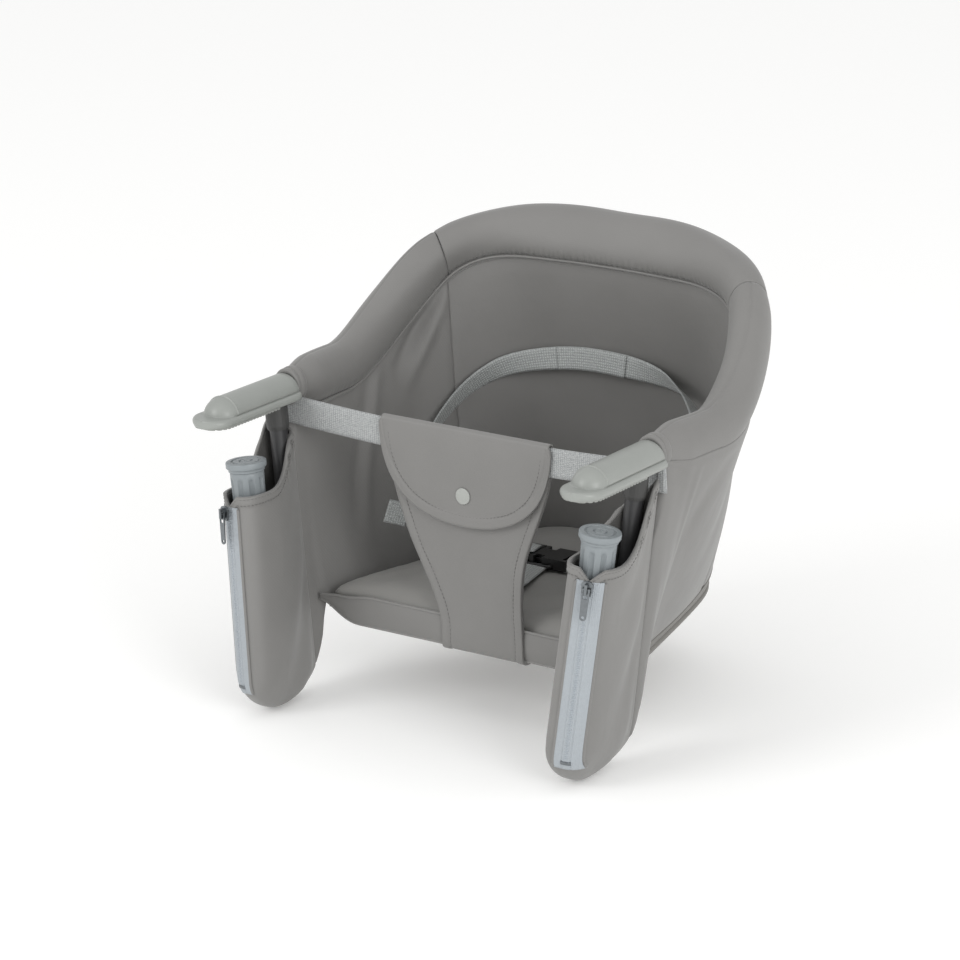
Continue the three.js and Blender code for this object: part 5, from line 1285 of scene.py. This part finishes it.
def sleeve_edges(z):
    """Front and rear edges of the sleeve at a height, the length of its nose and how full it is across."""
    slope = np.clip((z - ZIP_TOP_Z) / (ZIP_BOTTOM_Z - ZIP_TOP_Z), 0, 1)
    straight = SLEEVE_FRONT_TOP_Y + (SLEEVE_FRONT_LOW_Y - SLEEVE_FRONT_TOP_Y) * slope

    def round_off(turn, power):
        share = np.clip((turn - z) / (turn - SLEEVE_BOTTOM_Z), 0, 1)
        return (1 - share ** power) ** (1 / power)

    front = SLEEVE_TURN_Y + (straight - SLEEVE_TURN_Y) * round_off(SLEEVE_FRONT_TURN_Z, 2)
    reach = (SLEEVE_TAIL_Y - SLEEVE_TURN_Y) * round_off(SLEEVE_REAR_TURN_Z, TAIL_ROUNDNESS)
    rear = np.minimum(CLAMP_REAR_Y, SLEEVE_TURN_Y + reach)
    nose = np.minimum(SLEEVE_NOSE_LENGTH, (rear - front) / 2)
    return front, rear, nose, 0.12 + 0.88 * round_off(SLEEVE_FRONT_TURN_Z + 12, 2)


def sleeve_point(t, z, wall=0.0):
    """Points on the sleeve's cloth: t is 0 at the front, and 1 and -1 at the outer and inner rear edges.
    The first coordinate counts outwards from the sleeve's middle."""
    front, rear, nose, full = sleeve_edges(z)
    power = 2 / SLEEVE_ROUNDNESS
    turn = np.clip(np.abs(t), 0, 0.5) * math.pi
    ahead, across = np.clip(np.cos(turn), 0, 1) ** power, np.sin(turn) ** power
    back = np.clip(2 * np.abs(t) - 1, 0, 1)
    tail = np.where(t > 0, SLEEVE_OUTER_TAIL, SLEEVE_TAIL_HALF)
    half = SLEEVE_FRONT_HALF + (tail - SLEEVE_FRONT_HALF) * back ** 1.6
    out = np.sign(t) * (half * full - wall) * across
    y = front + nose * (1 - ahead) + wall * ahead + (rear - front - nose - wall) * back
    return np.stack(np.broadcast_arrays(out, y + out * SLEEVE_NOSE_SLOPE * ahead, z), -1)


def on_side(points, sign):
    """Points counted outwards from a clamp's middle, in the chair's frame."""
    return in_clamp(points * [sign, 1, 1], sign)


HEM_FRONT_Z = -75.5
HEM_RISE = 39.5
NOTCH_SIZE = 9.5
HEM_BAND = 7.5
HEM_ROWS = (2.2, 7.4)
SLEEVE_WALL = 1.6
LINING_PLACES = (1.9, 2.3)


def hem_height(t):
    """The scooped top edge: low at the front, cut down to the zip in a V, and rising to the rear."""
    place = sleeve_point(t, np.full(np.shape(t), ZIP_TOP_Z))
    notch = np.clip(1 - np.abs(place[..., 0] - ZIP_OFFSET) / NOTCH_SIZE, 0, 1) * (np.abs(t) < 0.42)
    rear = 16 * smooth(t, 0.66, 1) - 3 * smooth(-t, 0.8, 1)
    return HEM_FRONT_Z + HEM_RISE * smooth(place[..., 1], 0, 64) ** 1.35 - NOTCH_SIZE * notch + rear


def even_places(count):
    """Places that step evenly round the sleeve's section."""
    fine = np.linspace(-1, 1, 6001)
    ring = Line(sleeve_point(fine, np.full(fine.shape, -150.0)))
    return np.interp(np.linspace(0, ring.length, count), ring.along, fine)


def shut_end(rings):
    """Rings with three more that draw the lower end in to a pin hole."""
    middle = rings[-1:].mean(axis=1, keepdims=True)
    return np.concatenate([rings] + [middle + (rings[-1:] - middle) * size for size in (0.6, 0.25, 0.01)])


def add_sleeve(side, sign):
    """The zipped cloth sleeve with its hem band, gathers and two rows of stitches, and a dark sheet just
    inside it as painted shade.
    """
    t = even_places(150)[None, :]
    level = np.linspace(0, 1, 90)[:, None]
    top = hem_height(t)
    drop = np.sin(level * math.pi / 2) ** 1.15
    z = top + (SLEEVE_BOTTOM_Z + 0.4 - top) * drop
    both = np.broadcast_to(t, z.shape)
    from_hem = top - z
    by_side = smooth(np.abs(both), 0.3, 0.5) * smooth(1 - np.abs(both), 0.03, 0.16)
    band = smooth(HEM_BAND - from_hem, 0, 1.2) - 0.6 * bump(from_hem, 8.1, 0.8)
    band = band + 0.5 * bump(from_hem, 0.8, 0.9)
    band = band * smooth(1 - np.abs(both), 0.0, 0.05)
    slack = 0.9 * np.sin(from_hem / 21 + 5 * np.abs(both)) + 0.7 * np.sin(from_hem / 13 - 7 * both)
    slack = slack * by_side * smooth(from_hem, 12, 50) * smooth(1 - level, 0, 0.3)
    gathers = 1.3 * np.sin(both * 60 + from_hem / 9) * bump(from_hem, 9, 9) * smooth(np.abs(both), 0.62, 0.8)
    slack = slack + gathers * smooth(1 - np.abs(both), 0.0, 0.06)
    outer = sleeve_point(both, z, -band - slack)
    inner = sleeve_point(both, np.maximum(z, SLEEVE_BOTTOM_Z + 3), SLEEVE_WALL)
    points, faces = hollow_loft(shut_end(outer), shut_end(inner))
    add_riding(f"{side}_sleeve_cloth", (on_side(points, sign), faces), cloth, f"{side}_clamp",
               [f"{side}_sleeve"])
    # A dark sheet just inside the sleeve cloth: painted shade for the sleeve's shadowed inside
    below = np.minimum(z, top - 3)
    lining = sleeve_point(both, np.maximum(below, SLEEVE_BOTTOM_Z + 4), LINING_PLACES[0])
    backing = sleeve_point(both, np.maximum(below, SLEEVE_BOTTOM_Z + 4.4), LINING_PLACES[1])
    points, faces = hollow_loft(shut_end(lining), shut_end(backing))
    add_riding(f"{side}_sleeve_lining", (on_side(points, sign), faces), painted_shade_lining,
               f"{side}_clamp")
    ring = np.interp(np.linspace(0, 1, 500), np.linspace(0, 1, 150), even_places(150))
    ring = ring[(np.abs(ring) < 0.95)]
    rows = []
    for below in HEM_ROWS:
        sewn = on_side(sleeve_point(ring, hem_height(ring) - below, -1.05), sign)
        middle = on_side(sleeve_point(ring, hem_height(ring) - below, 12), sign)
        line = Line(sewn)
        pick = np.linspace(0, len(ring) - 1, max(2, int(line.length / STITCH_PITCH))).astype(int)
        rows.append(stitch_row(line, (sewn - middle)[pick]))
    add_riding(f"{side}_sleeve_stitches", join_shapes(rows), thread, f"{side}_clamp")


TAPE_WIDTH = 20.0
TAPE_LIFT = 0.7
COIL_PITCH = 1.5


def nose_depth(out, z):
    """How far back the sleeve's front surface is, at a place counted outwards and a height."""
    front, _, nose, full = sleeve_edges(z)
    share = np.minimum(np.abs(out) / (SLEEVE_FRONT_HALF * full), 0.985)
    ahead = (1 - share ** SLEEVE_ROUNDNESS) ** (1 / SLEEVE_ROUNDNESS)
    return front + nose * (1 - ahead) + out * SLEEVE_NOSE_SLOPE * ahead


zip_turn = math.atan((nose_depth(ZIP_OFFSET + 1, ZIP_TOP_Z) - nose_depth(ZIP_OFFSET - 1, ZIP_TOP_Z)) / 2)


def zip_place(across, z, lift):
    """A place on the zip, across from its middle and at a height, lifted off the cloth."""
    out = ZIP_OFFSET + across
    y = nose_depth(out, z) - math.cos(zip_turn) * lift
    return np.stack(np.broadcast_arrays(out + math.sin(zip_turn) * lift, y, z), -1)


def add_zip(side, sign):
    """The zip's tape, the welts along it, its coil and the stop at its lower end."""
    body = f"{side}_clamp"
    across = np.linspace(-0.5, 0.5, 61) * TAPE_WIDTH
    z, x = grid(np.linspace(ZIP_TOP_Z - 3, ZIP_BOTTOM_Z - 4, 100), across)
    groove = 0.55 * bump(np.abs(x), 3.3, 0.32) + 0.25 * smooth(np.abs(x), 3.0, 3.6)
    near, far = zip_place(x, z, TAPE_LIFT + 0.9 - groove), zip_place(x, z, TAPE_LIFT - 0.3)
    uv = np.stack([-z, x], -1).reshape(-1, 2)
    points, faces = thick_sheet(near, far)
    add_riding(f"{side}_zip_tape_cloth", (on_side(points, sign), faces), zip_cloth, body,
               [f"{side}_zip_tape"], np.vstack([uv, uv]))
    heights = np.linspace(ZIP_TOP_Z - 4, ZIP_BOTTOM_Z - 3, 90)
    for name, edge in (("outer", 1), ("inner", -1)):
        line = Line(on_side(zip_place(np.full(90, edge * (TAPE_WIDTH / 2 + 0.4)), heights, 0.5), sign))
        add_riding(f"{side}_zip_{name}_welt", closed_loft(tube_rings(line, 90, 1.3, 8)), cloth, body)
    teeth = []
    for i, height in enumerate(np.arange(ZIP_TOP_Z - 5, ZIP_BOTTOM_Z + 5, -COIL_PITCH)):
        lean = 0.5 if i % 2 else -0.5
        rings = []
        for s, r in ((-1.0, 0.3), (-0.7, 0.5), (0.7, 0.5), (1.0, 0.3)):
            angle = turns(8)
            lift = TAPE_LIFT + 0.95 + r * np.cos(angle)
            at = zip_place(np.full(8, lean + 1.2 * s), np.full(8, height), lift)
            rings.append(at + np.stack([0 * angle, 0 * angle, 1.1 * r * np.sin(angle)], -1))
        teeth.append(closed_loft(np.array(rings)))
    x, h = grid(np.linspace(-1, 1, 19), np.linspace(-1, 1, 11))
    crimp = 1.3 * np.clip((1 - x ** 6) * (1 - h ** 4), 0, 1) ** 0.5
    at = ZIP_BOTTOM_Z + 2 + 1.6 * h
    near, far = zip_place(4 * x, at, TAPE_LIFT + 0.7 + crimp), zip_place(4 * x, at, TAPE_LIFT + 0.3)
    points, faces = thick_sheet(near, far)
    add_riding(f"{side}_zip_end_stop", (on_side(points, sign), faces), cast_zinc, body,
               [f"{side}_zip_stop"])
    points, faces = join_shapes(teeth)
    add_riding(f"{side}_zip_teeth", (on_side(points, sign), faces), coil_nylon, body,
               [f"{side}_zip_coil"])


# Stage, in metres and watts
FLOOR_HALF = 14.0
FLOOR_GAP = 0.004
PAPER_GLOW = 0.12
SKY_STRENGTH = 0.85
LAMP_AIM = (0, 0.12, -0.05)
# Each lamp's name, place, size and power
LAMPS = (("key_lamp", (-1.3, -2.6, 1.5), 1.5, 30), ("side_lamp", (2.7, -1.3, 1.0), 1.5, 33))


def add_stage():
    """A plain pale floor under the sleeves, an even white sky and two large soft lamps."""
    floor_z = cad_low.z - FLOOR_GAP
    corners = [(x * FLOOR_HALF, y * FLOOR_HALF, floor_z) for x, y in ((-1, -1), (1, -1), (1, 1), (-1, 1))]
    mesh = bpy.data.meshes.new("floor")
    mesh.from_pydata(corners, [], [[0, 1, 2, 3]])
    paper, _, shader = blank("white_paper", Roughness=0.9)
    shader.inputs["Base Color"].default_value = linear("#F7F7F6")
    shader.inputs["Emission Color"].default_value = (1, 1, 1, 1)
    shader.inputs["Emission Strength"].default_value = PAPER_GLOW
    mesh.materials.append(paper)
    floor = bpy.data.objects.new("floor", mesh)
    bpy.context.scene.collection.objects.link(floor)
    world = bpy.data.worlds.new("studio")
    world.use_nodes = True
    world.node_tree.nodes["Background"].inputs["Color"].default_value = (1, 1, 1, 1)
    world.node_tree.nodes["Background"].inputs["Strength"].default_value = SKY_STRENGTH
    bpy.context.scene.world = world
    for name, place, size, power in LAMPS:
        data = bpy.data.lights.new(name, "AREA")
        data.size = size
        data.energy = power
        lamp = bpy.data.objects.new(name, data)
        lamp.location = place
        lamp.rotation_mode = "QUATERNION"
        lamp.rotation_quaternion = (Vector(place) - Vector(LAMP_AIM)).to_track_quat("Z", "Y")
        bpy.context.scene.collection.objects.link(lamp)


CAMERA_PLACE = (1.7251, -2.5191, 0.9171)
CAMERA_BACK = (0.5270, -0.7971, 0.2950)
CAMERA_LENS = 149.41


def add_camera():
    """The photograph's own view."""
    data = bpy.data.cameras.new("camera")
    data.lens = CAMERA_LENS
    data.sensor_width = 36
    camera = bpy.data.objects.new("camera", data)
    camera.location = CAMERA_PLACE
    camera.rotation_mode = "QUATERNION"
    camera.rotation_quaternion = Vector(CAMERA_BACK).to_track_quat("Z", "Y")
    bpy.context.scene.collection.objects.link(camera)
    bpy.context.scene.camera = camera
    bpy.context.scene.view_settings.view_transform = "Standard"


add_camera()
dress_solids()
add_rim_rolls()
add_rim_piping()
add_cuffs()
add_walls()
add_cushion()
add_base()
add_base_binding()
add_bar_strap()
add_waist_belt()
add_belt_tail()
add_crotch_strap()
add_crotch_panel()
add_crotch_flap()
add_snap()
for side, sign in SIDES:
    add_cap(side, sign)
    add_leg(side, sign)
    add_knob(side, sign)
    add_sleeve(side, sign)
    add_zip(side, sign)
add_stage()
